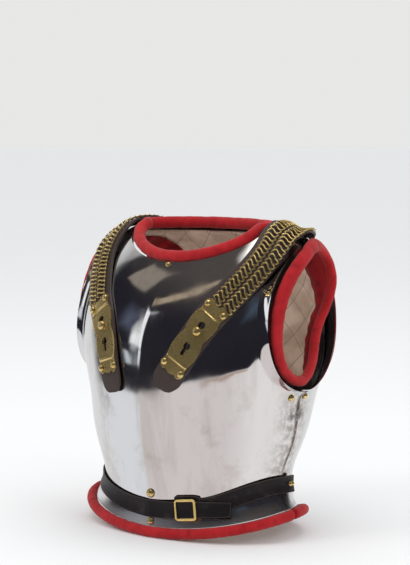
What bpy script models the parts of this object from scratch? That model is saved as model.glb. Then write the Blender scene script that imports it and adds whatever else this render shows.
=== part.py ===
import bmesh
import bpy
import numpy as np
from math import acos, cos, pi, radians, sin
from mathutils import Matrix, Vector
from mathutils.bvhtree import BVHTree

# Lengths are in metres. The wearer faces -Y and the wearer's left is +X.

SKIN_TOP = 0.431          # height at which the body's dome closes over the neck
CHEST_HALF = 0.188        # half width of the chest
FRONT_DEPTH = 0.139       # depth of the chest in front of the widest line
BACK_DEPTH = 0.1525       # depth of the back behind it
LEAN = 0.026              # how far the widest line moves back at the top
KEEL = 0.005              # ridge down the middle of the breast
HIP_LIFT = 0.0285         # rise of the hem and waist over the hips
HIP_TURN = 100            # turn in degrees, from the front, where the rise is full
HIP_FADE = (0.139, 0.487) # shares of the height between which the rise dies out

ARM_Y = 0.0330            # armhole centre behind the origin
ARM_DROP = 0.024          # top of the armhole below the top of the body
ARM_FRONT = 0.0865        # half width of the armhole's front half
ARM_BACK = 0.0730         # half width of its back half
ARM_HALF = 0.100          # half height
ARM_TILT = 0.0215         # how far its top leans back
SHOULDER_FRONT = 0.014    # where the breast ends on the shoulder
SHOULDER_BACK = 0.032     # and where the back begins
SHOULDER_DROP = 0.0085    # shoulder and back of the neck below the top of the body
NECK_DIP = 0.0445         # front of the neck below the shoulder
NECK_MEET = 0.0235        # where the neck's two rolls meet on the shoulder
NECK_FRONT_PLAY = 0.0020  # the front roll stops this much before it
NECK_BACK_PLAY = 0.0066   # and the back one this much behind it
NECK_TURN = 70            # turn in degrees where the neck edge reaches the shoulder
SEAM_LOW = -0.002         # where the side seam starts at the hem

FOLD = 0.603              # share of the height above which rows follow the neck edge

BREAST_STEEL = 0.0026
BACK_STEEL = 0.0015
SEAM_OVERLAP = 0.012      # the backplate's edge under the breastplate
SEAM_PLAY = 0.0009        # play between the plates there
LAP_REACH = 0.024         # the backplate's roll grows over this width
GAP = 0.0004
FLARE = 0.010             # outward roll of the armhole edge
FLARE_REACH = 0.015
LINING = 0.005

HEM_ROLL = 0.0075         # radius of the cloth roll under the hem
HEM_SINK = 0.0010         # how far its underside is pressed flat
HEM_TUCK = 0.0012         # how far the steel's hem comes down beside it
HEM_PROUD = 0.0006        # how far its middle stands out from the steel's face
ARM_ROLL = 0.0070
NECK_ROLL = 0.0085
NECK_OFF = 0.0033         # its play off the steel's edge
NECK_SINK = 0.0018        # and how far its middle lies inside the steel's face
NECK_MIDDLE = 0.028       # middle of the neck hole behind the origin
FACING = 0.0016           # cloth facing on the lining, inside the armhole
FACING_WIDE = 0.030
FACING_START = 0.86       # where it leaves the roll, share of its radius from its middle
FACING_NARROW = 0.6       # share of its width that it loses at the shoulder
FACING_GAP = 0.0017
TRIM_END = 1.2            # swing in degrees at which the front and back trims stop
HEM_END = 0.15            # turn in degrees by which the hem rolls stop short of the seam
LINING_GAP = 0.00115
NECK_DROP = 0.0024        # the linings stop this much below the neck edge
BREAST_SHORT = 0.0034     # the breast lining stops this much before the backplate
BACK_LONG = 0.0010        # the back lining runs this much past the lap
HEM_PLAY = 0.0002         # linings' hem over the steel's
ROLL_COVER = 1.17         # linings' edge under the roll, share of its radius from its middle
ROLL_SINK = 0.43          # and below its middle
PROBE = 0.03              # how far off a surface is looked for
SAG_REACH = 0.045         # how far in from the armhole the lining sags with the roll

STRAP_WIDE = 0.052
TONGUE_WIDE = 0.040
STRAP_THICK = 0.003
CHAIN_WIDE = 0.0175
CHAIN_THICK = 0.0036
CHAIN_APART = 0.0200
CHAIN_ASIDE = 0.0015      # how far the pair of chains lies outward on the strap
CHAIN_RISE = 0.0010       # play between the chains and the strap, and the least of it
CHAIN_PLAY = 0.0006
STRAP_PLAY = 0.0014       # play between the strap and what it passes over
PLATE_THICK = 0.0016
PLATE_WIDE = 0.040
TONGUE = 0.036            # strap below the plate's lower rivets
RIVETS_APART = 0.0965     # from the plate's lower rivets to its upper ones
RIVET_PAIR = 0.0288
RIVET = 0.0047            # radius of a plate rivet
REAR_RIVET = 0.0042
BELT_RIVET = 0.0036
REAR_TAB = 0.026          # strap behind the end of the chains
KEYHOLE_ROUND = 0.0052
KEYHOLE_SLOT = 0.0030
KEYHOLE_LONG = 0.0075     # slot's end beyond the round hole
NOTCH_TOP = 0.0062        # radii of the notches in the plate's ends
NOTCH_LOW = 0.0034
NOTCH_ASIDE = 0.0072
HOOK = 0.0062             # radius of the stud through a keyhole's slot, and of its neck
HOOK_NECK = 0.0021
HOOK_RISE = 0.0050
HOOK_PLAY = 0.0007

BELT_RISE = 0.0252        # belt's middle above the steel's hem
BELT_WIDE = 0.0250
BELT_THICK = 0.0020
BUCKLE_TURN = 22.0
BUCKLE_WIDE = 0.0310
BUCKLE_TALL = 0.0290
BUCKLE_BAR = 0.0026

STUD = 0.0046             # radius of a side stud
STUD_DROP = 0.0102        # side studs below the armhole

ARM_Z = SKIN_TOP - ARM_DROP - ARM_HALF
ARM_LOW = ARM_Z - ARM_HALF
SHOULDER_Z = SKIN_TOP - SHOULDER_DROP
NECK_FRONT = SHOULDER_Z - NECK_DIP
STEEL_HEM = 2 * HEM_ROLL - HEM_TUCK
BELT_Z = STEEL_HEM + BELT_RISE

# Shares of the sizes above: height, half width, front, back, lean, roundness, keel.
SECTIONS = (
    (0.000, 0.9309, 0.752, 0.754, -0.15, 2.10, 0.6),
    (0.042, 0.8540, 0.730, 0.682, -0.04, 2.05, 0.6),
    (0.081, 0.8133, 0.745, 0.676, 0.15, 2.00, 0.8),
    (0.116, 0.8016, 0.755, 0.687, 0.19, 2.00, 0.8),
    (0.209, 0.8505, 0.813, 0.771, 0.23, 2.00, 1.0),
    (0.325, 0.8995, 0.899, 0.865, 0.38, 2.05, 1.0),
    (0.441, 0.9186, 0.971, 0.953, 0.54, 2.10, 1.0),
    (0.557, 0.9755, 1.000, 1.009, 0.62, 2.15, 0.8),
    (0.673, 1.0000, 0.942, 1.000, 0.65, 2.20, 0.5),
    (0.789, 0.9840, 0.791, 0.929, 0.77, 2.20, 0.2),
    (0.870, 0.9360, 0.612, 0.800, 0.85, 2.20, 0.0),
    (0.928, 0.8510, 0.432, 0.643, 0.92, 2.20, 0.0),
    (0.963, 0.7420, 0.309, 0.498, 0.96, 2.20, 0.0),
    (0.986, 0.5960, 0.216, 0.370, 1.00, 2.10, 0.0),
    (1.000, 0.4200, 0.129, 0.250, 1.00, 2.00, 0.0),
)
SIZES = (SKIN_TOP, CHEST_HALF, FRONT_DEPTH, BACK_DEPTH, LEAN, 1.0, KEEL)

# Strap routes: height as a share of SKIN_TOP, turn in degrees on the wearer's right and left.
STRAP_ROUTE = (
    (0.460, 15.5, 9.4),
    (0.489, 15.9, 10.8),
    (0.520, 16.4, 12.8),
    (0.561, 17.3, 16.0),
    (0.626, 19.6, 20.9),
    (0.692, 25.0, 26.2),
    (0.743, 31.4, 31.3),
    (0.795, 37.2, 37.4),
    (0.861, 46.7, 46.7),
    (0.915, 56.0, 56.0),
    (0.953, 69.0, 69.0),
    (0.969, 89.0, 89.0),
    (0.969, 110.0, 110.0),
    (0.947, 134.0, 134.0),
    (0.900, 144.0, 144.0),
    (0.835, 149.0, 149.0),
    (0.777, 151.0, 151.0),
)

# How far the straps stand off the steel: share of the length, share of their thickness.
STRAP_RISE = (
    (0.00, 0.87),
    (0.12, 0.53),
    (0.25, 0.20),
    (0.38, 0.33),
    (0.50, 1.13),
    (0.60, 1.93),
    (0.72, 1.87),
    (0.82, 1.00),
    (0.92, -0.20),
    (1.00, -0.95),
)
STRAP_START = {"right": 0.0, "left": 0.0135}

# Cloth roll of an armhole: swing in degrees from the bottom, distance of its middle from
# the steel's edge, its middle's height over the steel, both as shares of its radius.
ROLL_FRONT = (
    (0, 1.50, -0.57),
    (45, 1.69, -0.14),
    (90, 1.74, 0.43),
    (135, 1.54, 0.86),
    (180, 1.50, 1.14),
)
ROLL_BACK = (
    (0, 1.50, -0.57),
    (25, 2.00, -1.43),
    (50, 2.43, -2.50),
    (75, 2.43, -2.64),
    (100, 2.07, -0.64),
    (122, 1.71, 1.00),
    (150, 1.50, 1.29),
    (180, 1.50, 1.14),
)

# Belt routes: turn in degrees, height from the belt's level as a share of its width, height
# of the strap's outer face as a share of its thickness, width share.
RIGHT_BELT = (
    (-101, 0.16, 1.7, 1.0),
    (-90, 0.14, 1.7, 1.0),
    (-75, 0.06, 1.7, 1.0),
    (-60, 0.01, 1.6, 1.0),
    (-45, 0.00, 1.6, 1.0),
    (-30, 0.01, 1.6, 1.0),
    (-15, -0.01, 1.6, 1.0),
    (0, -0.02, 1.6, 1.0),
    (7, -0.02, 2.0, 1.0),
    (13, -0.01, 3.1, 1.0),
    (17, 0.00, 3.6, 1.0),
    (22, 0.00, 3.7, 1.0),
    (27, -0.02, 3.6, 1.0),
    (33, -0.10, 3.3, 0.97),
    (40, -0.21, 3.2, 0.95),
    (47, -0.32, 3.2, 0.92),
)
LEFT_BELT = (
    (15.5, 0.16, 1.6, 1.26),
    (22, 0.16, 1.6, 1.26),
    (27.5, 0.12, 1.6, 1.20),
    (30, 0.06, 1.6, 1.0),
    (40, 0.14, 1.6, 1.0),
    (50, 0.28, 1.6, 1.0),
    (62, 0.40, 1.7, 1.0),
    (76, 0.40, 1.8, 1.0),
    (90, 0.26, 1.8, 1.0),
    (101, 0.16, 1.8, 1.0),
)

for old in list(bpy.data.objects):
    bpy.data.objects.remove(old, do_unlink=True)
home = bpy.data.collections.new("Cuirass")
bench = bpy.data.collections.new("Cutters")
bench.hide_render = True
bpy.context.scene.collection.children.link(home)
bpy.context.scene.collection.children.link(bench)


def material(name, colour, metallic, roughness):
    made = bpy.data.materials.new(name)
    made.use_nodes = True
    shader = made.node_tree.nodes["Principled BSDF"]
    shader.inputs["Base Color"].default_value = (*colour, 1.0)
    shader.inputs["Metallic"].default_value = metallic
    shader.inputs["Roughness"].default_value = roughness
    return made


steel = material("polished_steel", (0.62, 0.62, 0.63), 1.0, 0.12)
brass = material("brass", (0.72, 0.52, 0.22), 1.0, 0.28)
leather = material("dark_leather", (0.035, 0.025, 0.024), 0.0, 0.5)
cloth = material("red_cloth", (0.42, 0.02, 0.03), 0.0, 0.9)
quilt = material("beige_quilt", (0.55, 0.43, 0.33), 0.0, 0.8)


def smooth(t):
    t = min(max(t, 0.0), 1.0)
    return t * t * (3 - 2 * t)


def blend(table, at):
    """Row of a table at a value of its first column, by a cubic through the rows."""
    keys = [row[0] for row in table]
    at = min(max(at, keys[0]), keys[-1])
    last = len(table) - 1
    i = min(int(np.searchsorted(keys, at, side="right")) - 1, last - 1)

    def slope(k, column):
        low, high = max(k - 1, 0), min(k + 1, last)
        return (table[high][column] - table[low][column]) / (keys[high] - keys[low])

    step = keys[i + 1] - keys[i]
    t = (at - keys[i]) / step
    found = []
    for column in range(1, len(table[0])):
        found.append(
            (2 * t**3 - 3 * t**2 + 1) * table[i][column]
            + (t**3 - 2 * t**2 + t) * step * slope(i, column)
            + (3 * t**2 - 2 * t**3) * table[i + 1][column]
            + (t**3 - t**2) * step * slope(i + 1, column)
        )
    return found


def section(height):
    shares = blend(SECTIONS, height / SKIN_TOP)
    return [share * size for share, size in zip(shares, SIZES[1:])]


def lift(turn, height):
    """How far the hips raise a level line of the body."""
    turned = abs((turn + pi) % (2 * pi) - pi) / pi * 180
    if turned < HIP_TURN:
        share = (1 - cos(pi * turned / HIP_TURN)) / 2
    else:
        share = smooth((172 - turned) / (172 - HIP_TURN))
    low, high = (share * SKIN_TOP for share in HIP_FADE)
    return HIP_LIFT * share * (1 - smooth((height - low) / (high - low)))


def bare(turn, height):
    half, front, back, lean, power, keel = section(height)
    across = abs(sin(turn)) ** (2 / power)
    along = abs(cos(turn)) ** (2 / power)
    x = half * across * (1 if sin(turn) >= 0 else -1)
    if cos(turn) > 0:
        y = lean - front * along - keel * float(np.exp(-abs(x) / 0.03))
    else:
        y = lean + back * along
    return np.array([x, y, height + lift(turn, height)])


def outward(turn, height):
    low, high = max(height - 1e-4, 0.0), min(height + 1e-4, SKIN_TOP)
    along = bare(turn + 1e-3, height) - bare(turn - 1e-3, height)
    upward = bare(turn, high) - bare(turn, low)
    normal = np.cross(along, upward)
    return normal / np.linalg.norm(normal)


def skin(turn, height, out=0.0):
    return bare(turn, height) + outward(turn, height) * out


def turn_at(y, height):
    """Turn from the front at which a level of the body reaches this y."""
    half, front, back, lean, power, keel = section(height)
    if y <= lean:
        return acos(min((lean - y) / front, 1.0) ** (power / 2))
    return pi - acos(min((y - lean) / back, 1.0) ** (power / 2))


def neck_height(turn):
    turned = abs((turn + pi) % (2 * pi) - pi) / pi * 180
    if turned < 90:
        return NECK_FRONT + (SHOULDER_Z - NECK_FRONT) * smooth(turned / NECK_TURN)
    return SHOULDER_Z


def arm_edge(swing, inset=0.0):
    """(y, height) on the armhole. The swing is 0 at the bottom and positive to the front."""
    wide = (ARM_FRONT if sin(swing) >= 0 else ARM_BACK) - inset
    y = ARM_Y - wide * sin(swing) - ARM_TILT * cos(swing)
    return y, ARM_Z - (ARM_HALF - inset) * cos(swing)


def arm_point(swing, inset, out, hand=1):
    y, height = arm_edge(swing, inset)
    point = skin(turn_at(y, height), height, out)
    point[0] *= hand
    return point


ARM_LINE = np.array([arm_point(radians(a), 0.0, 0.0) for a in range(0, 360, 1)])


def flare(point):
    """Outward roll of the steel near an armhole."""
    near = np.array([abs(point[0]), point[1], point[2]])
    away = float(np.min(np.linalg.norm(ARM_LINE - near, axis=1)))
    if away >= FLARE_REACH:
        return 0.0
    return FLARE * (1 - away / FLARE_REACH) ** 2


def lap_flare(point):
    """The backplate's roll, which starts only outside the breastplate's lap."""
    start = seam(min(point[2], ARM_LOW)) - SEAM_OVERLAP
    return flare(point) * smooth((point[1] - start) / LAP_REACH)


def seam(height):
    high = ARM_Y - ARM_TILT
    share = (height - STEEL_HEM) / (ARM_Z - ARM_HALF - STEEL_HEM)
    return SEAM_LOW + (high - SEAM_LOW) * smooth(share)


def wall_grid(front, edges, columns, out, steel_wall, drop=0.0):
    """Points of one wall and the ways they face, row by row, from (y, height) at its edge."""
    grid = []
    ways = []
    fold = FOLD * SKIN_TOP
    roll = flare if front else lap_flare
    for y, height in edges:
        edge = turn_at(y, height)
        row = []
        facing = []
        for share in columns:
            turn = share * edge if front else pi - share * (pi - edge)
            level = height
            if height > fold:
                upper = (height - fold) / (SHOULDER_Z - fold)
                level = fold + upper * (neck_height(turn) - fold - drop)
            here = bare(turn, level)
            row.append(skin(turn, level, out + roll(here) if steel_wall else bend(here, out)))
            facing.append(outward(turn, level))
        grid.append(row)
        ways.append(facing)
    return grid, ways


def trees(*names):
    """Shapes of finished pieces, for measuring the room beside them."""
    bpy.context.view_layer.update()
    graph = bpy.context.evaluated_depsgraph_get()
    return [BVHTree.FromObject(bpy.data.objects[name], graph) for name in names]


def room(point, toward, shapes):
    """Distance from a point to the nearest shape in this direction, below zero inside it."""
    start = Vector(point - toward * PROBE)
    found = [tree.ray_cast(start, Vector(toward))[3] for tree in shapes]
    return min([f for f in found if f is not None], default=1.0) - PROBE


def keep_off(grid, toward, shapes, gap):
    """Moves a grid's points back until the faces between them clear the shapes."""
    grid, toward = np.array(grid), np.array(toward)
    steps = (0.0, 0.25, 0.5, 0.75, 1.0)
    for _ in range(6):
        push = np.zeros(grid.shape[:2])
        for r in range(len(grid) - 1):
            for c in range(len(grid[0]) - 1):
                corners = ((r, c), (r, c + 1), (r + 1, c), (r + 1, c + 1))
                for a, b in [(a, b) for a in steps for b in steps]:
                    weights = ((1 - a) * (1 - b), (1 - a) * b, a * (1 - b), a * b)
                    point = sum(w * grid[k] for w, k in zip(weights, corners))
                    way = sum(w * toward[k] for w, k in zip(weights, corners))
                    short = gap - room(point, way / np.linalg.norm(way), shapes)
                    for w, k in zip(weights, corners):
                        push[k] = max(push[k], short * min(1.0, 2 * w))
        grid = grid - toward * push[..., None]
        if push.max() < 5e-5:
            break
    return grid


def rest(at, normal, radius, shapes, gap):
    """Where a round foot at this point, moved along the normal, just clears the shapes."""
    first, second = sides_of(normal)
    least = room(at, -normal, shapes)
    for k in range(12):
        aside = first * cos(pi * k / 6) + second * sin(pi * k / 6)
        least = min(least, room(at + aside * radius, -normal, shapes))
    return at - normal * (least - gap)


def finish(name, mesh, paint, target=home):
    made = bpy.data.objects.new(name, mesh)
    made.data.materials.append(paint)
    target.objects.link(made)
    return made


def from_faces(name, points, faces, paint, target=home):
    mesh = bpy.data.meshes.new(name)
    mesh.from_pydata([tuple(p) for p in points], [], faces)
    mesh.update()
    return finish(name, mesh, paint, target)


def sheet(name, grid, thick, paint, turned=False, even=True):
    """A wall of this thickness inward from a grid of points."""
    wide = len(grid[0])
    points = [p for row in grid for p in row]
    faces = []
    for r in range(len(grid) - 1):
        for c in range(wide - 1):
            a = r * wide + c
            quad = (a, a + 1, a + wide + 1, a + wide)
            faces.append(quad[::-1] if turned else quad)
    made = from_faces(name, points, faces, paint)
    solid = made.modifiers.new("Thickness", "SOLIDIFY")
    solid.thickness = thick
    solid.offset = -1
    solid.use_even_offset = even
    return made


def tube(name, rings, paint, target=home):
    """A closed body through rings of points, with flat ends."""
    sides = len(rings[0])
    points = [p for ring in rings for p in ring]
    faces = []
    for r in range(len(rings) - 1):
        for s in range(sides):
            a, b = r * sides + s, r * sides + (s + 1) % sides
            faces.append((a, b, b + sides, a + sides))
    faces.append(tuple(range(sides))[::-1])
    faces.append(tuple(range(len(points) - sides, len(points))))
    made = from_faces(name, points, faces, paint, target)
    if sum(face_volume(made.data, face) for face in made.data.polygons) < 0:
        made.data.flip_normals()
    return made


def face_volume(mesh, face):
    corners = [np.array(mesh.vertices[v].co) for v in face.vertices]
    total = 0.0
    for i in range(1, len(corners) - 1):
        total += float(np.dot(corners[0], np.cross(corners[i], corners[i + 1])))
    return total


def placed(made, at, first, second, third):
    """Puts an object at a point with its own axes along these three."""
    made.matrix_world = Matrix.Translation(at) @ Matrix((first, second, third)).transposed().to_4x4()


def sides_of(normal):
    """Two directions square to a normal and to each other."""
    first = np.cross(normal, (0.0, 0.0, 1.0) if abs(normal[2]) < 0.9 else (1.0, 0.0, 0.0))
    first = first / np.linalg.norm(first)
    return first, np.cross(normal, first)


def box(name, centre, axes, size, paint, target=home):
    shape = bmesh.new()
    bmesh.ops.create_cube(shape, size=1.0, matrix=Matrix.Diagonal((*size, 1.0)))
    mesh = bpy.data.meshes.new(name)
    shape.to_mesh(mesh)
    shape.free()
    made = finish(name, mesh, paint, target)
    placed(made, centre, *axes)
    return made


def turned_piece(name, profile, at, normal, paint, sides=8, target=home):
    """A profile of (radius, height) pairs turned about a normal, from axis to axis."""
    mesh = bpy.data.meshes.new(name)
    links = [(k, k + 1) for k in range(len(profile) - 1)]
    mesh.from_pydata([(radius, 0.0, height) for radius, height in profile], links, [])
    made = finish(name, mesh, paint, target)
    turning = made.modifiers.new("Turn", "SCREW")
    turning.steps = sides
    turning.render_steps = sides
    turning.use_merge_vertices = True
    turning.merge_threshold = 0.00001
    turning.use_normal_flip = True
    placed(made, at, *sides_of(normal), normal)
    return made


def dome(name, at, normal, radius, rise):
    bulge = (radius * 0.94, rise * 0.42)
    profile = ((0, 0), (radius, 0), bulge, (radius * 0.6, rise * 0.86), (0, rise))
    turned_piece(name, profile, at, normal, brass)


def cut(target, cutter, name="Cut"):
    cutter.display_type = "WIRE"
    cutter.hide_render = True
    made = target.modifiers.new(name, "BOOLEAN")
    made.operation = "DIFFERENCE"
    made.object = cutter
    made.solver = "EXACT"


def spaced(shares):
    return [-s for s in shares[:0:-1]] + list(shares)


# The two steel plates. The breast laps over the back at the sides.
WALL_COLUMNS = spaced((0, 0.20, 0.40, 0.60, 0.78, 0.90, 0.965, 1))
LINING_COLUMNS = spaced((0, 0.30, 0.56, 0.76, 0.90, 1))
UNDERARM = (0, 0.05, 0.105, 0.155, 0.21, 0.32, 0.46, 0.62, 0.78, 0.90, 0.965, 1)
BREAST_SWINGS = (6, 14, 28, 46, 66, 88, 110, 130, 145, 154)
BACK_SWINGS = (5, 11, 22, 38, 58, 80, 102, 124, 144, 160, 172)


def wall_edges(front, lap, hem, underarm, swings, inset=None):
    """(y, height) up the side, round the armhole and over the shoulder."""
    first = radians(swings[0])
    low = arm_edge(0.0, inset(0.0) if inset else 0.0)[1]
    found = []
    for share in underarm:
        height = hem + (low - hem) * share
        found.append((seam(min(height, ARM_LOW)) - lap, height))
    for swing in swings:
        angle = radians(swing if front else -swing)
        found.append(arm_edge(angle, inset(angle) if inset else 0.0))
    y, top = found[-1]
    goal = SHOULDER_FRONT if front else SHOULDER_BACK
    for share in (0.5, 1.0):
        found.append((y + (goal - y) * share, top + (SHOULDER_Z - top) * share))
    return found


BACK_OUT = -(BREAST_STEEL + SEAM_PLAY)
edges = wall_edges(True, 0.0, STEEL_HEM, UNDERARM, BREAST_SWINGS)
grid, ways = wall_grid(True, edges, WALL_COLUMNS, 0.0, True)
sheet("breastplate", grid, BREAST_STEEL, steel)
edges = wall_edges(False, SEAM_OVERLAP, STEEL_HEM, UNDERARM, BACK_SWINGS)
grid, ways = wall_grid(False, edges, WALL_COLUMNS, BACK_OUT, True)
grid = keep_off(grid, ways, trees("breastplate"), GAP)
sheet("backplate", grid, BACK_STEEL, steel, turned=True)


def roll_at(swing):
    """(distance from the steel's edge, height over the steel) of the armhole roll's middle."""
    swing = (swing + pi) % (2 * pi) - pi
    table = ROLL_FRONT if swing >= 0 else ROLL_BACK
    return [share * ARM_ROLL for share in blend(table, abs(swing) / pi * 180)]


def lining_inset(swing):
    return roll_at(swing)[0] - ROLL_COVER * ARM_ROLL


LINING_LINE = []
for degrees in range(0, 360, 2):
    LINING_LINE.append(arm_point(radians(degrees), lining_inset(radians(degrees)), 0.0))
LINING_LINE = np.array(LINING_LINE)


def bend(point, base):
    """Height over the steel of a lining's outer face, which meets the roll at the armhole."""
    near = np.array([abs(point[0]), point[1], point[2]])
    gaps = np.linalg.norm(LINING_LINE - near, axis=1)
    first = int(np.argmin(gaps))
    goal = min(roll_at(radians(first * 2))[1] - ROLL_SINK * ARM_ROLL, base)
    return base + (goal - base) * smooth(1 - float(gaps[first]) / SAG_REACH)


BREAST_LINING_OUT = -(BREAST_STEEL + LINING_GAP)
BACK_LINING_OUT = BACK_OUT - BACK_STEEL - LINING_GAP
LINING_HEM = STEEL_HEM + HEM_PLAY
LINING_ROWS = (0, 0.05, 0.105, 0.155, 0.21, 0.32, 0.46, 0.70, 1)
BREAST_LINING_SWINGS = (20, 36, 54, 74, 96, 118, 138, 153)
BACK_LINING_SWINGS = (14, 28, 44, 60, 76, 92, 108, 126, 146, 168)
for name, front, lap, swings, out in (
    ("breast_lining", True, SEAM_OVERLAP + BREAST_SHORT, BREAST_LINING_SWINGS, BREAST_LINING_OUT),
    ("back_lining", False, SEAM_OVERLAP - BACK_LONG, BACK_LINING_SWINGS, BACK_LINING_OUT),
):
    edges = wall_edges(front, lap, LINING_HEM, LINING_ROWS, swings, lining_inset)
    grid, ways = wall_grid(front, edges, LINING_COLUMNS, out, False, NECK_DROP)
    grid = keep_off(grid, ways, trees("breastplate", "backplate"), LINING_GAP)
    sheet(name, grid, LINING, quilt, turned=not front, even=False)


# Cloth rolls at the hem, the neck and the armholes.
def ring(centre, first, second, radius, sides, start=0.0):
    angles = [start + 2 * pi * s / sides for s in range(sides)]
    return [centre + (first * cos(a) + second * sin(a)) * radius for a in angles]


def hem_ring(turn):
    level = HEM_ROLL - HEM_SINK
    centre = skin(turn, level, HEM_PROUD)
    normal = outward(turn, level)
    flat = np.array([normal[0], normal[1], 0.0])
    flat = flat / np.linalg.norm(flat)
    return ring(centre, flat, np.array([0.0, 0.0, 1.0]), HEM_ROLL, 8, pi / 8)


reach = 4 * CHEST_HALF
floor_block = box("floor_block", (0.0, 0.0, -0.01), np.eye(3), (reach, reach, 0.02), leather, bench)
seam_turn = turn_at(seam(STEEL_HEM), STEEL_HEM) / pi * 180
hem_ends = (seam_turn - HEM_END, seam_turn + HEM_END)
hem_front = [radians(a) for a in np.linspace(-hem_ends[0], hem_ends[0], 21)]
hem_back = [radians(a) for a in np.linspace(hem_ends[1], 360 - hem_ends[1], 21)]
for name, turns in (("hem_trim_front", hem_front), ("hem_trim_back", hem_back)):
    made = tube(name, [hem_ring(t) for t in turns], cloth)
    cut(made, floor_block)


def neck_ring(turn):
    level = neck_height(turn)
    edge = bare(turn, level)
    normal = outward(turn, level)
    step = 1e-3
    along = bare(turn + step, neck_height(turn + step)) - bare(turn - step, neck_height(turn - step))
    upward = np.cross(normal, along)
    upward = upward / np.linalg.norm(upward)
    if upward[2] < 0:
        upward = -upward
    if np.dot(upward, np.array([-edge[0], NECK_MIDDLE - edge[1], NECK_ROLL])) < 0:
        upward = -upward
    centre = edge - normal * NECK_SINK + upward * (NECK_ROLL + NECK_OFF)
    return ring(centre, normal, upward, NECK_ROLL, 8)


def even_turns(first, last, count):
    """Turns at equal steps along the neck edge."""
    turns = np.linspace(first, last, 400)
    points = [bare(t, neck_height(t)) for t in turns]
    gaps = [0.0] + [float(np.linalg.norm(b - a)) for a, b in zip(points, points[1:])]
    lengths = np.cumsum(gaps)
    return np.interp(np.linspace(0, lengths[-1], count), lengths, turns)


front_end = turn_at(NECK_MEET - NECK_FRONT_PLAY, SHOULDER_Z)
back_end = turn_at(NECK_MEET + NECK_BACK_PLAY, SHOULDER_Z)
tube("neck_trim_front", [neck_ring(t) for t in even_turns(-front_end, front_end, 19)], cloth)
tube("neck_trim_back", [neck_ring(t) for t in even_turns(back_end, 2 * pi - back_end, 15)], cloth)


def arm_trim(name, swings, front, hand):
    """An armhole's cloth: a roll, and a facing turned in over the lining."""
    base = BREAST_LINING_OUT if front else BACK_LINING_OUT
    full = FACING_WIDE * (0.5 if front else 1.0)
    grid = []
    ways = []
    rolls = []
    for swing in swings:
        away, high = roll_at(swing)
        start = away - FACING_START * ARM_ROLL
        wide = full * (1 - FACING_NARROW * smooth((abs(swing) - 1.9) / 0.9))
        row = []
        facing = []
        for reach in (0.0, 0.5 * wide, wide):
            out = bend(arm_point(swing, start - reach, 0.0), base) - LINING
            row.append(arm_point(swing, start - reach, out, hand))
            way = row[-1] - arm_point(swing, start - reach, out - 0.01, hand)
            facing.append(way / np.linalg.norm(way))
        grid.append(row)
        ways.append(facing)
        roll = []
        for k in range(7):
            angle = radians(262 + k * 334 / 6)
            inset = away + ARM_ROLL * cos(angle)
            roll.append(arm_point(swing, inset, high + ARM_ROLL * sin(angle), hand))
        rolls.append(roll)
    grid = keep_off(grid, ways, trees("breast_lining", "back_lining"), FACING_GAP)
    rings = []
    for roll, row, facing in zip(rolls, grid, ways):
        rings.append(roll + list(row) + [p - w * FACING for p, w in zip(row, facing)][::-1])
    tube(name, rings, cloth)


for hand, word in ((1, "left"), (-1, "right")):
    ends = (TRIM_END, 180 - TRIM_END)
    arm_trim("armhole_trim_front_" + word, np.radians(np.linspace(*ends, 13)), True, hand)
    arm_trim("armhole_trim_back_" + word, -np.radians(np.linspace(*ends, 15)), False, hand)


def settle(point, turn, height):
    """(turn, height) of the body's point nearest to this one, from a first guess."""
    for _ in range(6):
        here = bare(turn, height)
        by_turn = (bare(turn + 1e-4, height) - here) / 1e-4
        step = -1e-5 if height > SKIN_TOP - 1e-4 else 1e-5
        by_height = (bare(turn, height + step) - here) / step
        frame = np.stack([by_turn, by_height], axis=1)
        move = np.linalg.lstsq(frame, point - here, rcond=None)[0]
        turn += float(np.clip(move[0], -0.2, 0.2))
        height = min(max(height + float(move[1]), 0.001), SKIN_TOP - 0.0005)
    return turn, height


class Route:
    """A line on the body, measured by length, on which strips and plates are laid."""

    def __init__(self, stops, flared=True):
        fine = []
        spots = list(range(len(stops)))
        table = [(k, *stop) for k, stop in zip(spots, stops)]
        for k in np.linspace(0, spots[-1], 12 * spots[-1] + 1):
            fine.append(blend(table, k))
        self.stops = fine
        points = [bare(f[0], f[1]) for f in fine]
        gaps = [0.0] + [float(np.linalg.norm(b - a)) for a, b in zip(points, points[1:])]
        self.lengths = np.cumsum(gaps)
        self.length = float(self.lengths[-1])
        self.flared = flared

    def at(self, s):
        columns = np.array(self.stops).T
        return [float(np.interp(s, self.lengths, column)) for column in columns]

    def place(self, s, across, out):
        found = self.at(s)
        turn, height = found[0], found[1]
        here = bare(turn, height)
        ahead = self.at(min(s + 0.002, self.length))
        behind = self.at(max(s - 0.002, 0.0))
        along = bare(ahead[0], ahead[1]) - bare(behind[0], behind[1])
        side = np.cross(along, outward(turn, height))
        side = side / np.linalg.norm(side)
        turn, height = settle(here + side * across, turn, height)
        base = bare(turn, height)
        roll = flare(base) if self.flared else 0.0
        return base + outward(turn, height) * (out + roll)

    def normal(self, s, across=0.0):
        up = self.place(s, across, 0.01) - self.place(s, across, 0.0)
        return up / np.linalg.norm(up)


def strip(name, route, stations, across, thick, paint, shapes, gap=GAP):
    """A band along a route, over the shapes. A station is (length, middle, half width, outer face)."""
    grid = []
    ways = []
    for s, middle, half, out in stations:
        sides = [middle + half * share for share in across]
        grid.append([route.place(s, side, out) for side in sides])
        ways.append([-route.normal(s, side) for side in sides])
    grid = keep_off(grid, ways, shapes, thick + gap)
    flip = np.dot(
        np.cross(grid[0][1] - grid[0][0], grid[1][0] - grid[0][0]),
        route.normal(stations[0][0]),
    )
    return sheet(name, grid, thick, paint, turned=flip < 0)


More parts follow.
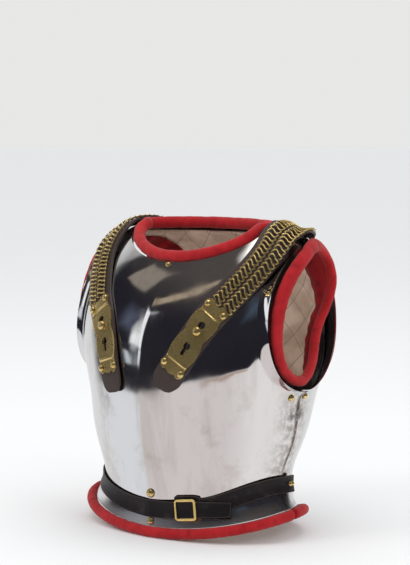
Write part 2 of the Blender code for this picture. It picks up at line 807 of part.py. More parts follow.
def keyhole(name, route, s):
    """Cutter for a round hole with a slot below it, along the route's normal."""
    low, high = -0.004, 0.016
    outline = []
    for k in range(8):
        angle = radians(-55 + k * 290 / 7)
        outline.append((KEYHOLE_ROUND * cos(angle), KEYHOLE_ROUND * sin(angle)))
    reach = KEYHOLE_ROUND * 0.75 + KEYHOLE_LONG
    for k in range(3):
        angle = radians(180 + 30 + k * 60)
        outline.append((KEYHOLE_SLOT * cos(angle), -reach + KEYHOLE_SLOT * sin(angle)))
    middle = route.place(s, 0.0, 0.0)
    normal = route.normal(s)
    along = route.place(s + 0.004, 0.0, 0.0) - route.place(s - 0.004, 0.0, 0.0)
    along = along - normal * np.dot(along, normal)
    along = along / np.linalg.norm(along)
    side = np.cross(along, normal)
    rings = []
    for out in (low, high):
        rings.append([middle + side * a + along * b + normal * out for a, b in outline])
    return tube(name, rings, brass, bench)


def post(name, route, s, across, radius, sides=12):
    """Round cutter that goes through the plate and not the strap."""
    low, high = STRAP_THICK / 3, 4 * STRAP_THICK
    at = route.place(s, across, 0.0)
    profile = ((0, low), (radius, low), (radius, high), (0, high))
    return turned_piece(name, profile, at, route.normal(s, across), brass, sides, bench)


LEATHER_OUT = GAP + STRAP_THICK
PLATE_OUT = LEATHER_OUT + GAP + PLATE_THICK
CHAIN_OUT = LEATHER_OUT + CHAIN_RISE + CHAIN_THICK
LOW_KEYHOLE = 0.366       # shares of the way from the low rivets to the high ones
HIGH_KEYHOLE = 0.715

for hand, word, column in ((1, "left", 2), (-1, "right", 1)):
    arm_trims = ("armhole_trim_front_" + word, "armhole_trim_back_" + word)
    route = Route([(hand * radians(stop[column]), stop[0] * SKIN_TOP) for stop in STRAP_ROUTE])
    tip = STRAP_START[word]
    low_rivets = tip + TONGUE
    high_rivets = low_rivets + RIVETS_APART
    half = TONGUE_WIDE / 2

    def off(s, out):
        return out + STRAP_THICK * blend(STRAP_RISE, s / route.length)[0]

    stations = []
    for along, share in ((0, 0.42), (0.09, 0.70), (0.25, 0.90), (0.50, 1.0), (0.80, 1.0), (1.12, 1.0)):
        s = tip + along * TONGUE_WIDE
        stations.append((s, 0.0, half * share, off(s, LEATHER_OUT)))
    high_end = high_rivets + 2 * RIVET
    chain_end = route.length - REAR_TAB
    upper = [float(s) for s in np.linspace(high_end, chain_end, 13)]
    lower = [tip + share * (high_end - tip) for share in (0.42, 0.55, 0.68, 0.81)]
    for s in lower + upper + [route.length]:
        wide = TONGUE_WIDE + (STRAP_WIDE - TONGUE_WIDE) * smooth((s / high_end - 0.35) / 0.56)
        stations.append((float(s), 0.0, wide / 2, off(s, LEATHER_OUT)))
    beneath = trees("breastplate", "backplate", "neck_trim_front", "neck_trim_back", *arm_trims)
    strap_name = "shoulder_strap_" + word
    strap = strip(strap_name, route, stations, (-1, 0, 1), STRAP_THICK, leather, beneath, STRAP_PLAY)
    widths = (
        (-0.090, 0.62),
        (-0.060, 0.84),
        (0.000, 0.93),
        (0.075, 0.84),
        (0.200, 0.95),
        (0.340, 1.00),
        (0.450, 0.93),
        (0.530, 0.84),
        (0.610, 0.93),
        (0.720, 1.00),
        (0.830, 0.97),
        (0.920, 0.88),
        (1.000, 0.97),
        (1.060, 0.90),
        (1.095, 0.66),
    )
    stations = []
    for share, wide in widths:
        s = low_rivets + share * RIVETS_APART
        stations.append((s, 0.0, PLATE_WIDE / 2 * wide, off(s, PLATE_OUT)))
    over_strap = trees("shoulder_strap_" + word)
    plate = strip("hook_plate_" + word, route, stations, (-1, 0, 1), PLATE_THICK, brass, over_strap)
    for share, label in ((LOW_KEYHOLE, "low"), (HIGH_KEYHOLE, "high")):
        hole = keyhole("keyhole_" + label + "_" + word, route, low_rivets + share * RIVETS_APART)
        cut(plate, hole, "Keyhole " + label)
        cut(strap, hole, "Keyhole " + label)
    top_end = low_rivets + 1.115 * RIVETS_APART
    cut(plate, post("notch_top_" + word, route, top_end, 0.0, NOTCH_TOP), "Notch")
    low_end = low_rivets - 0.105 * RIVETS_APART
    for across in (-1, 1):
        name = "notch_low_%s_%d" % (word, across + 1)
        cut(plate, post(name, route, low_end, across * NOTCH_ASIDE, NOTCH_LOW), "Notch %d" % across)
    over_plate = trees("hook_plate_" + word)
    for s, level in ((low_rivets, "low"), (high_rivets, "high")):
        for across, place in ((-1, "a"), (1, "b")):
            aside = across * RIVET_PAIR / 2
            normal = route.normal(s, aside)
            at = rest(route.place(s, aside, off(s, PLATE_OUT)), normal, RIVET, over_plate, GAP)
            dome("plate_rivet_%s_%s_%s" % (word, level, place), at, normal, RIVET, 0.72 * RIVET)
    s = low_rivets + HIGH_KEYHOLE * RIVETS_APART - KEYHOLE_ROUND * 0.75 - HOOK
    normal = route.normal(s)
    at = rest(route.place(s, 0.0, off(s, PLATE_OUT)), normal, HOOK, over_plate, HOOK_PLAY)
    deep = room(at, -normal, trees("breastplate")) - GAP
    profile = (
        (0, -deep),
        (HOOK_NECK, -deep),
        (HOOK_NECK, 0),
        (HOOK, 0),
        (0.94 * HOOK, 0.44 * HOOK_RISE),
        (0.58 * HOOK, 0.86 * HOOK_RISE),
        (0, HOOK_RISE),
    )
    turned_piece("strap_stud_" + word, profile, at, normal, brass, 12)
    for across, place in ((-1, "inner"), (1, "outer")):
        middle = (across * CHAIN_APART / 2 + CHAIN_ASIDE) * hand
        stations = []
        for s in upper:
            stations.append((float(s), middle, CHAIN_WIDE / 2, off(s, CHAIN_OUT)))
        over = trees("shoulder_strap_" + word, "neck_trim_front", "neck_trim_back", *arm_trims)
        name = "chain_%s_%s" % (place, word)
        strip(name, route, stations, (-1, 1), CHAIN_THICK, brass, over, CHAIN_PLAY)
    for across, place in ((-1, "a"), (1, "b")):
        aside = across * 0.21 * STRAP_WIDE
        s = route.length - 0.42 * REAR_TAB
        normal = route.normal(s, aside)
        at = rest(route.place(s, aside, off(s, LEATHER_OUT)), normal, REAR_RIVET, over_strap, GAP)
        dome("rear_rivet_%s_%s" % (word, place), at, normal, REAR_RIVET, 0.67 * REAR_RIVET)

# Waist belt in two straps, with the buckle on the wearer's left one.
belts = {}
for word, table in (("left", LEFT_BELT), ("right", RIGHT_BELT)):
    route = Route(
        [(radians(a), BELT_Z + up * BELT_WIDE, out * BELT_THICK, wide) for a, up, out, wide in table],
        flared=False,
    )
    belts[word] = route
    count = 25 if word == "right" else 15
    stations = []
    for s in np.linspace(0.0, route.length, count):
        turn, level, out, wide = route.at(s)
        stations.append((float(s), 0.0, BELT_WIDE / 2 * wide, out))
    beneath = ["breastplate", "backplate"] + (["belt_strap_left"] if word == "right" else [])
    strip("belt_strap_" + word, route, stations, (-1, 0, 1), BELT_THICK, leather, trees(*beneath))
    for share, place in ((1.7, "a"), (3.6, "b")):
        s = share * BELT_RIVET if word == "right" else route.length - share * BELT_RIVET
        normal = route.normal(s)
        at = rest(route.place(s, 0.0, route.at(s)[2]), normal, BELT_RIVET, trees("belt_strap_" + word), GAP)
        dome("belt_rivet_%s_%s" % (word, place), at, normal, BELT_RIVET, 0.83 * BELT_RIVET)


# The buckle's rectangular frame, on the strap.
over = belts["right"]
spot = float(np.interp(radians(BUCKLE_TURN), [f[0] for f in over.stops], over.lengths))
normal = over.normal(spot)
along = over.place(spot + 0.01, 0.0, 0.0) - over.place(spot - 0.01, 0.0, 0.0)
along = along - normal * np.dot(along, normal)
along = along / np.linalg.norm(along)
rise = np.cross(normal, along)
if rise[2] < 0:
    rise = -rise
axes = (along, rise, np.cross(along, rise))
top = rest(over.place(spot, 0.0, over.at(spot)[2]), normal, BUCKLE_WIDE / 2, trees("belt_strap_right"), GAP)
top = top + normal * BUCKLE_BAR / 2
frame = box("buckle_frame", top, axes, (BUCKLE_WIDE, BUCKLE_TALL, BUCKLE_BAR), brass)
opening = (BUCKLE_WIDE - 2 * BUCKLE_BAR, BUCKLE_TALL - 2 * BUCKLE_BAR, 8 * BUCKLE_BAR)
window = box("buckle_window", top, axes, opening, brass, bench)
cut(frame, window)
soft = frame.modifiers.new("Bevel", "BEVEL")
soft.width = 0.27 * BUCKLE_BAR
soft.segments = 1
soft.limit_method = "ANGLE"
soft.angle_limit = radians(40)

# Studs on the steel.
on_steel = trees("breastplate", "backplate")
for name, turn, level, radius, rising in (
    ("neck_stud", 0.0, NECK_FRONT - 0.76 * STUD, 0.87 * STUD, 0.70 * STUD),
    ("waist_stud", 0.7, BELT_Z + 0.84 * BELT_WIDE, 1.39 * STUD, 1.09 * STUD),
    ("flange_stud", 0.4, STEEL_HEM + 1.46 * STUD, 1.09 * STUD, 0.78 * STUD),
    ("side_stud_front_left", 80.5, ARM_LOW - STUD_DROP, STUD, 0.87 * STUD),
    ("side_stud_front_right", -80.5, ARM_LOW - STUD_DROP, STUD, 0.87 * STUD),
    ("side_stud_back_left", 93.5, ARM_LOW - STUD_DROP - 0.39 * STUD, STUD, 0.87 * STUD),
    ("side_stud_back_right", -93.5, ARM_LOW - STUD_DROP - 0.39 * STUD, STUD, 0.87 * STUD),
):
    normal = outward(radians(turn), level)
    dome(name, rest(bare(radians(turn), level), normal, radius, on_steel, GAP), normal, radius, rising)

# Put the middle of the object's foot at the origin.
bpy.context.view_layer.update()
graph = bpy.context.evaluated_depsgraph_get()
corners = []
for made in home.objects:
    mesh = made.evaluated_get(graph).to_mesh()
    corners += [made.matrix_world @ v.co for v in mesh.vertices]
low = np.min([tuple(c) for c in corners], axis=0)
high = np.max([tuple(c) for c in corners], axis=0)
middle = (low + high) / 2
for made in list(home.objects) + list(bench.objects):
    made.location = made.location - Vector((middle[0], middle[1], low[2]))
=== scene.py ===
import bpy
import numpy as np
from math import cos, pi, radians, sin
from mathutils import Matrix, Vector
from mathutils.bvhtree import BVHTree


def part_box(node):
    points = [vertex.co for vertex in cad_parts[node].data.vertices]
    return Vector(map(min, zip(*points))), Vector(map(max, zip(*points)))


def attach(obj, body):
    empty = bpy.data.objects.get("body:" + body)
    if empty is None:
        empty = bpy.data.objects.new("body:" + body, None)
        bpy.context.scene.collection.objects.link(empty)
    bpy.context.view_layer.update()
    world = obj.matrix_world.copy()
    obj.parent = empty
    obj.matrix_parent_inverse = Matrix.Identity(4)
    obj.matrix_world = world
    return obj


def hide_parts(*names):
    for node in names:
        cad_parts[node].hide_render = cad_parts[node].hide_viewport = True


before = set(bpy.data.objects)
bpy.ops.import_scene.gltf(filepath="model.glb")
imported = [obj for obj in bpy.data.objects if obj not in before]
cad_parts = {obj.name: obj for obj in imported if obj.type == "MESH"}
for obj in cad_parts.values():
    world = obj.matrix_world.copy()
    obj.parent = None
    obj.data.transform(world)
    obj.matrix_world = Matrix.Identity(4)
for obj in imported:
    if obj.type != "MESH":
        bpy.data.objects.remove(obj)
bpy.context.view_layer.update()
print("frame loaded")

# The body that the plates follow. Lengths in metres, the wearer faces -Y.
body = {
    "top": 0.431,
    "sizes": (0.188, 0.139, 0.1525, 0.026, 1.0, 0.005),
    "hipLift": 0.0285,
    "hipTurn": 100.0,
    "hipFade": (0.139, 0.487),
    "shoulder": 0.4225,
    "ridge": (0.014, 0.032),
    "neckFront": 0.378,
    "neckTurn": 70.0,
    "fold": 0.259893,
    # height, half width, front, back, lean, roundness, keel
    "sections": (
        (0.000, 0.9309, 0.752, 0.754, -0.15, 2.10, 0.6),
        (0.042, 0.8540, 0.730, 0.682, -0.04, 2.05, 0.6),
        (0.081, 0.8133, 0.745, 0.676, 0.15, 2.00, 0.8),
        (0.116, 0.8016, 0.755, 0.687, 0.19, 2.00, 0.8),
        (0.209, 0.8505, 0.813, 0.771, 0.23, 2.00, 1.0),
        (0.325, 0.8995, 0.899, 0.865, 0.38, 2.05, 1.0),
        (0.441, 0.9186, 0.971, 0.953, 0.54, 2.10, 1.0),
        (0.557, 0.9755, 1.000, 1.009, 0.62, 2.15, 0.8),
        (0.673, 1.0000, 0.942, 1.000, 0.65, 2.20, 0.5),
        (0.789, 0.9840, 0.791, 0.929, 0.77, 2.20, 0.2),
        (0.870, 0.9360, 0.612, 0.800, 0.85, 2.20, 0.0),
        (0.928, 0.8510, 0.432, 0.643, 0.92, 2.20, 0.0),
        (0.963, 0.7420, 0.309, 0.498, 0.96, 2.20, 0.0),
        (0.986, 0.5960, 0.216, 0.370, 1.00, 2.10, 0.0),
        (1.000, 0.4200, 0.129, 0.250, 1.00, 2.00, 0.0),
    ),
}
arm = {
    "y": 0.033,
    "z": 0.307,
    "front": 0.0865,
    "back": 0.073,
    "half": 0.1,
    "tilt": 0.0215,
    "flare": 0.010,
    "reach": 0.015,
}
steelHem = 0.0138
seamLow = -0.002
gap = 0.0004


def smooth(t):
    t = np.clip(t, 0.0, 1.0)
    return t * t * (3 - 2 * t)


# Angles of evenly spaced points round a circle.
def wheel(count):
    return np.linspace(0, 2 * pi, count + 1)[:-1]


def unit(vectors):
    return vectors / np.linalg.norm(vectors, axis=-1, keepdims=True)


# A curve through rows of (key, values) whose bends run on without a step.
def makeCurve(rows):
    rows = np.array(rows, float)
    keys, values = rows[:, 0], rows[:, 1:]
    step = np.diff(keys)
    rise = np.diff(values, axis=0) / step[:, None]
    system = np.zeros((len(keys), len(keys)))
    goal = np.zeros_like(values)
    system[0, 0] = system[-1, -1] = 1.0
    goal[0], goal[-1] = rise[0], rise[-1]
    for k in range(1, len(keys) - 1):
        system[k, k - 1 : k + 2] = step[k], 2 * (step[k - 1] + step[k]), step[k - 1]
        goal[k] = 3 * (step[k] * rise[k - 1] + step[k - 1] * rise[k])
    return keys, values, np.linalg.solve(system, goal)


def rowAt(curve, at):
    keys, values, slopes = curve
    at = np.clip(np.asarray(at, float), keys[0], keys[-1])
    i = np.clip(np.searchsorted(keys, at, side="right") - 1, 0, len(keys) - 2)
    step = keys[i + 1] - keys[i]
    t = ((at - keys[i]) / step)[..., None]
    step = step[..., None]
    return (
        (2 * t**3 - 3 * t**2 + 1) * values[i]
        + (t**3 - 2 * t**2 + t) * step * slopes[i]
        + (3 * t**2 - 2 * t**3) * values[i + 1]
        + (t**3 - t**2) * step * slopes[i + 1]
    )


sections = makeCurve(body["sections"])


def section(height):
    found = rowAt(sections, np.asarray(height) / body["top"]) * np.array(body["sizes"])
    return np.moveaxis(found, -1, 0)


def lift(turn, height):
    turned = np.abs((turn + pi) % (2 * pi) - pi) / pi * 180
    front = (1 - np.cos(pi * turned / body["hipTurn"])) / 2
    back = smooth((172 - turned) / (172 - body["hipTurn"]))
    share = np.where(turned < body["hipTurn"], front, back)
    low, high = (part * body["top"] for part in body["hipFade"])
    return body["hipLift"] * share * (1 - smooth((height - low) / (high - low)))


def bare(turn, height):
    turn, height = np.broadcast_arrays(turn, height)
    half, front, back, lean, power, keel = section(height)
    x = half * np.abs(np.sin(turn)) ** (2 / power) * np.where(np.sin(turn) < 0, -1, 1)
    along = np.abs(np.cos(turn)) ** (2 / power)
    ahead = lean - front * along - keel * np.exp(-np.abs(x) / 0.03)
    y = np.where(np.cos(turn) > 0, ahead, lean + back * along)
    return np.stack([x, y, height + lift(turn, height)], axis=-1)


def outward(turn, height):
    high = np.minimum(height + 1e-4, body["top"])
    along = bare(turn + 1e-3, height) - bare(turn - 1e-3, height)
    upward = bare(turn, high) - bare(turn, high - 2e-4)
    return unit(np.cross(along, upward))


def skin(turn, height, out):
    return bare(turn, height) + outward(turn, height) * np.asarray(out)[..., None]


def turnAt(y, height):
    half, front, back, lean, power, keel = section(height)
    ahead = np.arccos(np.clip((lean - y) / front, 0, 1) ** (power / 2))
    behind = pi - np.arccos(np.clip((y - lean) / back, 0, 1) ** (power / 2))
    return np.where(y <= lean, ahead, behind)


def neckHeight(turn):
    turned = np.abs((turn + pi) % (2 * pi) - pi) / pi * 180
    rise = (body["shoulder"] - body["neckFront"]) * smooth(turned / body["neckTurn"])
    return np.where(turned < 90, body["neckFront"] + rise, body["shoulder"])


# A place on an armhole. The swing is 0 at its bottom and positive to the front.
def armEdge(swing, inset):
    wide = np.where(np.sin(swing) >= 0, arm["front"], arm["back"]) - inset
    y = arm["y"] - wide * np.sin(swing) - arm["tilt"] * np.cos(swing)
    return y, arm["z"] - (arm["half"] - inset) * np.cos(swing)


def armPoint(swing, inset, out, hand=1):
    y, height = armEdge(swing, inset)
    points = skin(turnAt(y, height), height, out)
    return points * np.array([hand, 1, 1])


# Distance over the surface from a point to the armhole's edge.
def fromArm(points, normals):
    u = (arm["z"] - points[..., 2]) / arm["half"]
    v = arm["y"] - points[..., 1] - arm["tilt"] * u
    wide = np.where(v >= 0, arm["front"], arm["back"])
    v = v / wide
    q = np.maximum(np.hypot(u, v), 1e-6)
    slope = np.stack([0 * q, -v / wide / q, (v * arm["tilt"] / wide - u) / arm["half"] / q], axis=-1)
    slope = slope - normals * (slope * normals).sum(-1, keepdims=True)
    return (q - 1) / np.maximum(np.linalg.norm(slope, axis=-1), 1.5)


def flare(points, normals):
    away = np.maximum(fromArm(points, normals), 0.0) / arm["reach"]
    return arm["flare"] * np.clip(1 - away, 0, 1) ** 2


def seam(height):
    low = arm["z"] - arm["half"]
    share = smooth((np.minimum(height, low) - steelHem) / (low - steelHem))
    return seamLow + (arm["y"] - arm["tilt"] - seamLow) * share


# Radii and offsets of the cloth rolls. The solid's hem roll has eight sides.
rolls = {
    "hem": 0.0075,
    "sink": 0.0010,
    "out": 0.0006,
    "solidSides": 8,
    "rounding": 0.011,
    "arm": 0.0070,
    "neck": 0.0085,
    "neckIn": 0.0018,
    "neckUp": 0.0033,
    "hemFold": 0.028,
    "neckFold": 0.04,
}
hemLevel = rolls["hem"] - rolls["sink"]
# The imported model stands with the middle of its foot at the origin.
hemFront = skin(0.0, hemLevel, rolls["out"])[1] - rolls["hem"] * cos(pi / rolls["solidSides"])
shift = np.array([0.0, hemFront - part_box("hem_trim_front")[0][1], 0.0])


# A shader value that takes part in sums like a number.
class Flow:
    def __init__(self, tree, socket=None):
        self.tree = tree
        self.socket = socket

    def node(self, kind, settings, inputs, output=0):
        made = self.tree.nodes.new(kind)
        for key, value in settings.items():
            setattr(made, key, value)
        for key, value in inputs.items():
            if isinstance(value, Flow):
                self.tree.links.new(value.socket, made.inputs[key])
            else:
                made.inputs[key].default_value = value
        return Flow(self.tree, made.outputs[output] if made.outputs else None)

    def math(self, operation, first, second=0.0):
        return self.node("ShaderNodeMath", {"operation": operation}, {0: first, 1: second})

    def __add__(self, other):
        return self.math("ADD", self, other)

    def __radd__(self, other):
        return self.math("ADD", other, self)

    def __sub__(self, other):
        return self.math("SUBTRACT", self, other)

    def __rsub__(self, other):
        return self.math("SUBTRACT", other, self)

    def __mul__(self, other):
        return self.math("MULTIPLY", self, other)

    def __neg__(self):
        return self.math("MULTIPLY", self, -1.0)

    def size(self):
        return self.math("ABSOLUTE", self)

    def most(self, other):
        return self.math("MAXIMUM", self, other)

    # 0 below low, 1 above high, smooth between.
    def step(self, low, high):
        return self.node(
            "ShaderNodeMapRange",
            {"interpolation_type": "SMOOTHSTEP"},
            {"Value": self, "From Min": low, "From Max": high},
        )

    def stretch(self, scale, offset=(0.0, 0.0, 0.0)):
        return self.node("ShaderNodeMapping", {}, {"Vector": self, "Scale": scale, "Location": offset})

    def noise(self, scale, detail=3.0, rough=0.5, twist=0.0):
        inputs = {"Vector": self, "Scale": scale, "Detail": detail, "Roughness": rough, "Distortion": twist}
        return self.node("ShaderNodeTexNoise", {}, inputs)

    def cells(self, scale, feature="F1"):
        return self.node("ShaderNodeTexVoronoi", {"feature": feature}, {"Vector": self, "Scale": scale})

    # Distance to the nearest whole number.
    def near(self):
        return self.math("PINGPONG", self, 0.5)

    def part(self, axis):
        return self.node("ShaderNodeSeparateXYZ", {}, {"Vector": self}, axis)

    # This value, 0 to 1, picks between two colours.
    def colour(self, first, second):
        settings = {"data_type": "RGBA", "clamp_factor": True}
        first = first if isinstance(first, Flow) else (*first, 1.0)
        second = second if isinstance(second, Flow) else (*second, 1.0)
        return self.node("ShaderNodeMix", settings, {0: self, 6: first, 7: second}, 2)

    def bump(self, distance, strength=1.0, under=None):
        inputs = {"Height": self, "Distance": distance, "Strength": strength}
        if under is not None:
            inputs["Normal"] = under
        return self.node("ShaderNodeBump", {}, inputs)


def paint(name, **constants):
    made = bpy.data.materials.new(name)
    made.use_nodes = True
    shader = made.node_tree.nodes["Principled BSDF"]
    for key, value in constants.items():
        shader.inputs[key.replace("_", " ")].default_value = value
    start = Flow(made.node_tree)
    place = start.node("ShaderNodeTexCoord", {}, {}, "Object")
    lay = start.node("ShaderNodeAttribute", {"attribute_name": "lay"}, {}, "Vector")

    def join(**links):
        for key, value in links.items():
            made.node_tree.links.new(value.socket, shader.inputs[key.replace("_", " ")])

    return made, place, lay, join


# Polished steel with stains, faint dents, hairlines and pits.
steel, place, lay, join = paint("polishedSteel", Metallic=1.0)
streaks = place.stretch((1.0, 1.0, 0.16)).noise(26.0, 6.0, 0.62, 0.4)
clouds = place.noise(9.0, 5.0, 0.6)
specks = place.cells(330.0)
spots = 1.0 - specks.step(0.06, 0.20)
patchy = place.noise(34.0, 4.0, 0.6).step(0.56, 0.70)
pits = spots * patchy
grime = place.noise(15.0, 7.0, 0.68).step(0.52, 0.70)
stain = streaks.step(0.46, 0.70)
colour = (stain * 0.6).colour((0.80, 0.80, 0.81), (0.64, 0.62, 0.60))
colour = (grime * 0.30).colour(colour, (0.46, 0.40, 0.34))
# Soot and rust near the seam. Round the waist the same dark colours paint a reflection of the belt.
sootAndBeltReflection = lay.part(1) * place.noise(95.0, 6.0, 0.7).step(0.36, 0.62)
colour = (sootAndBeltReflection * 0.75).colour(colour, (0.30, 0.26, 0.235))
rustAndBeltReflection = lay.part(0) * (place.noise(60.0, 5.0, 0.7).step(0.30, 0.52))
colour = (rustAndBeltReflection * 0.85).colour(colour, (0.11, 0.075, 0.055))
colour = (pits * 0.75).colour(colour, (0.12, 0.095, 0.075))
rough = 0.05 + clouds.step(0.42, 0.68) * 0.05 + stain * 0.05 + grime * 0.07 + pits * 0.3
rough = rough + rustAndBeltReflection * 0.25 + sootAndBeltReflection * 0.16 + lay.part(2) * 0.30
dents = place.noise(17.0, 1.0, 0.4).bump(0.0013)
hairs = place.stretch((1.0, 1.0, 0.05)).noise(900.0, 2.0, 0.6)
fine = (hairs * 0.35 + place.noise(240.0, 3.0, 0.6) * 0.5 - pits * 2.5).bump(0.000014, 0.8, dents)
join(Base_Color=colour, Roughness=rough, Normal=fine)

# Old brass, darker and greener in its hollows and on its undersides: patina and painted shade.
brass, place, lay, join = paint("oldBrass", Specular_IOR_Level=0.8)
tarnish = place.noise(60.0, 3.0, 0.5).step(0.40, 0.68)
smears = place.noise(42.0, 4.0, 0.6).step(0.42, 0.66)
# Painted shade with patina: dark where the lay marks hollows, the feet of domes and the undersides of links
# and bars.
hollowShadeAndPatina = lay.part(2).step(0.1, 0.9)
colour = tarnish.colour((0.95, 0.72, 0.30), (0.80, 0.59, 0.23))
colour = (smears * 0.3).colour(colour, (0.56, 0.42, 0.18))
colour = (hollowShadeAndPatina * 0.8).colour(colour, (0.12, 0.09, 0.04))
rubbed = lay.part(1)
colour = (rubbed * 0.8).colour(colour, (0.86, 0.62, 0.20))
grain = (place.noise(500.0, 2.0, 0.5) * 0.3 + place.noise(90.0, 2.0, 0.5)).bump(0.000008, 0.5)
rough = 0.25 + tarnish * 0.06 + hollowShadeAndPatina * 0.2
join(Base_Color=colour, Roughness=rough, Metallic=0.92 - rubbed * 0.5, Normal=grain)

# Dark strap leather: grain, a crease line inside the edge, a worn light edge.
leather, place, lay, join = paint("darkLeather", Specular_IOR_Level=0.25)
rim = lay.part(2)
worn = place.noise(70.0, 6.0, 0.65).step(0.50, 0.72)
edge = 1.0 - rim.step(0.0003, 0.0012)
line = 1.0 - (rim - 0.0030).size().step(0.0002, 0.0006)
colour = worn.colour((0.011, 0.0085, 0.0095), (0.032, 0.024, 0.024))
colour = (edge * 0.5).colour(colour, (0.085, 0.062, 0.052))
pores = place.cells(820.0, "SMOOTH_F1")
crumple = place.noise(190.0, 5.0, 0.7)
height = pores * 0.5 + crumple * 0.9 - line * 1.6
join(Base_Color=colour, Roughness=0.43 + worn * 0.17 - line * 0.08, Normal=height.bump(0.00016, 0.75))

# Felted red wool.
wool, place, lay, join = paint("redWool", Sheen_Weight=0.22, Sheen_Roughness=0.5, Specular_IOR_Level=0.15)
wool.node_tree.nodes["Principled BSDF"].inputs["Sheen Tint"].default_value = (1.0, 0.55, 0.5, 1.0)
fibre = place.noise(1100.0, 3.0, 0.7)
weft = place.stretch((1.0, 1.0, 1.6)).cells(640.0)
faded = place.noise(30.0, 5.0, 0.6).step(0.40, 0.70)
colour = faded.colour((0.32, 0.009, 0.013), (0.40, 0.015, 0.019))
# Painted shade: darker in the troughs of the rolls' creases and over the facing under the armhole roll.
colour = (lay.part(0) * 0.8).colour(colour, (0.13, 0.004, 0.008))
colour = (fibre.step(0.55, 0.75) * 0.22).colour(colour, (0.52, 0.05, 0.05))
nap = (fibre * 0.8 + weft * 0.8).bump(0.00034, 0.9)
join(Base_Color=colour, Roughness=0.86 + fibre * 0.1, Normal=nap)

# Quilted satin lining, sewn in diamonds.
satin, place, lay, join = paint("beigeSatin", Sheen_Weight=0.25, Sheen_Roughness=0.3, Specular_IOR_Level=0.5)
weave = place.stretch((1.0, 1.0, 0.3)).noise(900.0, 2.0, 0.6)
aged = place.noise(24.0, 6.0, 0.65).step(0.42, 0.68)
colour = aged.colour((0.95, 0.80, 0.65), (0.78, 0.62, 0.48))
first, second = lay.part(0).near(), lay.part(1).near()
line = first.math("MINIMUM", first, second)
thread = 1.0 - line.step(0.006, 0.016)
colour = (thread * 0.85).colour(colour, (0.15, 0.095, 0.065))
pucker = place.noise(90.0, 3.0, 0.6) * (1.0 - line.step(0.01, 0.2))
drapeAndPaintedFoldShade = place.stretch((1.0, 1.0, 1.6)).noise(15.0, 1.0, 0.4, 0.5)
# Painted shade: soft darker bands stand in for the shade of the satin's folds.
colour = (drapeAndPaintedFoldShade.step(0.45, 0.60) * 0.5).colour(colour, (0.46, 0.345, 0.255))
# Painted shade: the lining's outer face, toward the steel, is painted near black.
paintedShadeOnOuterFace = 1.0 - lay.part(2).step(-0.6, -0.2)
colour = paintedShadeOnOuterFace.colour(colour, (0.016, 0.009, 0.009))
soft = drapeAndPaintedFoldShade.bump(0.022, 0.8)
surface = (weave * 0.12 + pucker * 1.1 - thread * 0.6).bump(0.0006, 0.8, soft)
join(Base_Color=colour, Roughness=0.40 + aged * 0.16, Normal=surface)

print("materials made")


def roundEdges(piece, bevel, angle):
    rounding = piece.modifiers.new("Edges", "BEVEL")
    rounding.width, rounding.segments = bevel
    rounding.limit_method = "ANGLE"
    rounding.angle_limit = radians(angle)
    rounding.harden_normals = True


def addMesh(name, points, faces, material, slot, nodes, lay=None, bevel=None):
    mesh = bpy.data.meshes.new(name)
    mesh.from_pydata((np.asarray(points) - shift).tolist(), [], faces)
    mesh.shade_smooth()
    if lay is not None:
        mesh.attributes.new("lay", "FLOAT_VECTOR", "POINT").data.foreach_set("vector", np.ravel(lay))
    made = bpy.data.objects.new(name, mesh)
    mesh.materials.append(material)
    bpy.context.scene.collection.objects.link(made)
    if bevel:
        roundEdges(made, bevel, 50)
    if nodes:
        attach(made, "root")
        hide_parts(*nodes)
    return made


def gridFaces(rows, columns, start=0, turned=False, closed=False):
    r, c = np.meshgrid(np.arange(rows if closed else rows - 1), np.arange(columns - 1), indexing="ij")
    a = r * columns + c
    b = ((r + 1) % rows) * columns + c
    quads = np.stack([a, a + 1, b + 1, b], axis=-1).reshape(-1, 4) + start
    return quads[:, ::-1] if turned else quads


# Two grids of points joined at their borders into one closed wall.
def shellFaces(rows, columns, turned):
    count = rows * columns
    outer = gridFaces(rows, columns, 0, turned)
    inner = gridFaces(rows, columns, count, not turned)
    top = np.arange(columns)
    side = np.arange(rows) * columns
    border = np.concatenate([top, side[1:] + columns - 1, (top + side[-1])[::-1][1:], side[::-1][1:]])
    ends = [border[:-1], border[1:], border[1:] + count, border[:-1] + count]
    walls = np.stack(ends if turned else ends[::-1], axis=-1)
    return np.concatenate([outer, inner, walls]).tolist()


def shell(name, outer, inner, turned, material, slot, nodes, lay, bevel):
    rows, columns = outer.shape[:2]
    points = np.concatenate([outer.reshape(-1, 3), inner.reshape(-1, 3)])
    faces = shellFaces(rows, columns, turned)
    both = np.broadcast_to(lay, (2, *outer.shape)).reshape(-1, 3)
    return addMesh(name, points, faces, material, slot, nodes, both, bevel), treeOf(points, faces)


def treeOf(points, faces):
    return BVHTree.FromPolygons(np.asarray(points).tolist(), faces)


# Rings of points: two directions and a radius at each middle.
def hoops(middle, first, second, radius, angle):
    spokes = first[..., None, :] * np.cos(angle)[..., None] + second[..., None, :] * np.sin(angle)[..., None]
    return middle[..., None, :] + np.asarray(radius)[..., None] * spokes


# Rings of points joined into a tube, open or closed on itself.
def tubeFaces(rings, sides, closed, start=0):
    r, s = np.meshgrid(np.arange(rings if closed else rings - 1), np.arange(sides), indexing="ij")
    a = r * sides + s
    b = r * sides + (s + 1) % sides
    up = (((r + 1) % rings) - r) * sides
    faces = (np.stack([a, b, b + up, a + up], axis=-1).reshape(-1, 4) + start).tolist()
    if not closed:
        faces.append([start + k for k in range(sides)][::-1])
        faces.append([start + (rings - 1) * sides + k for k in range(sides)])
    return faces


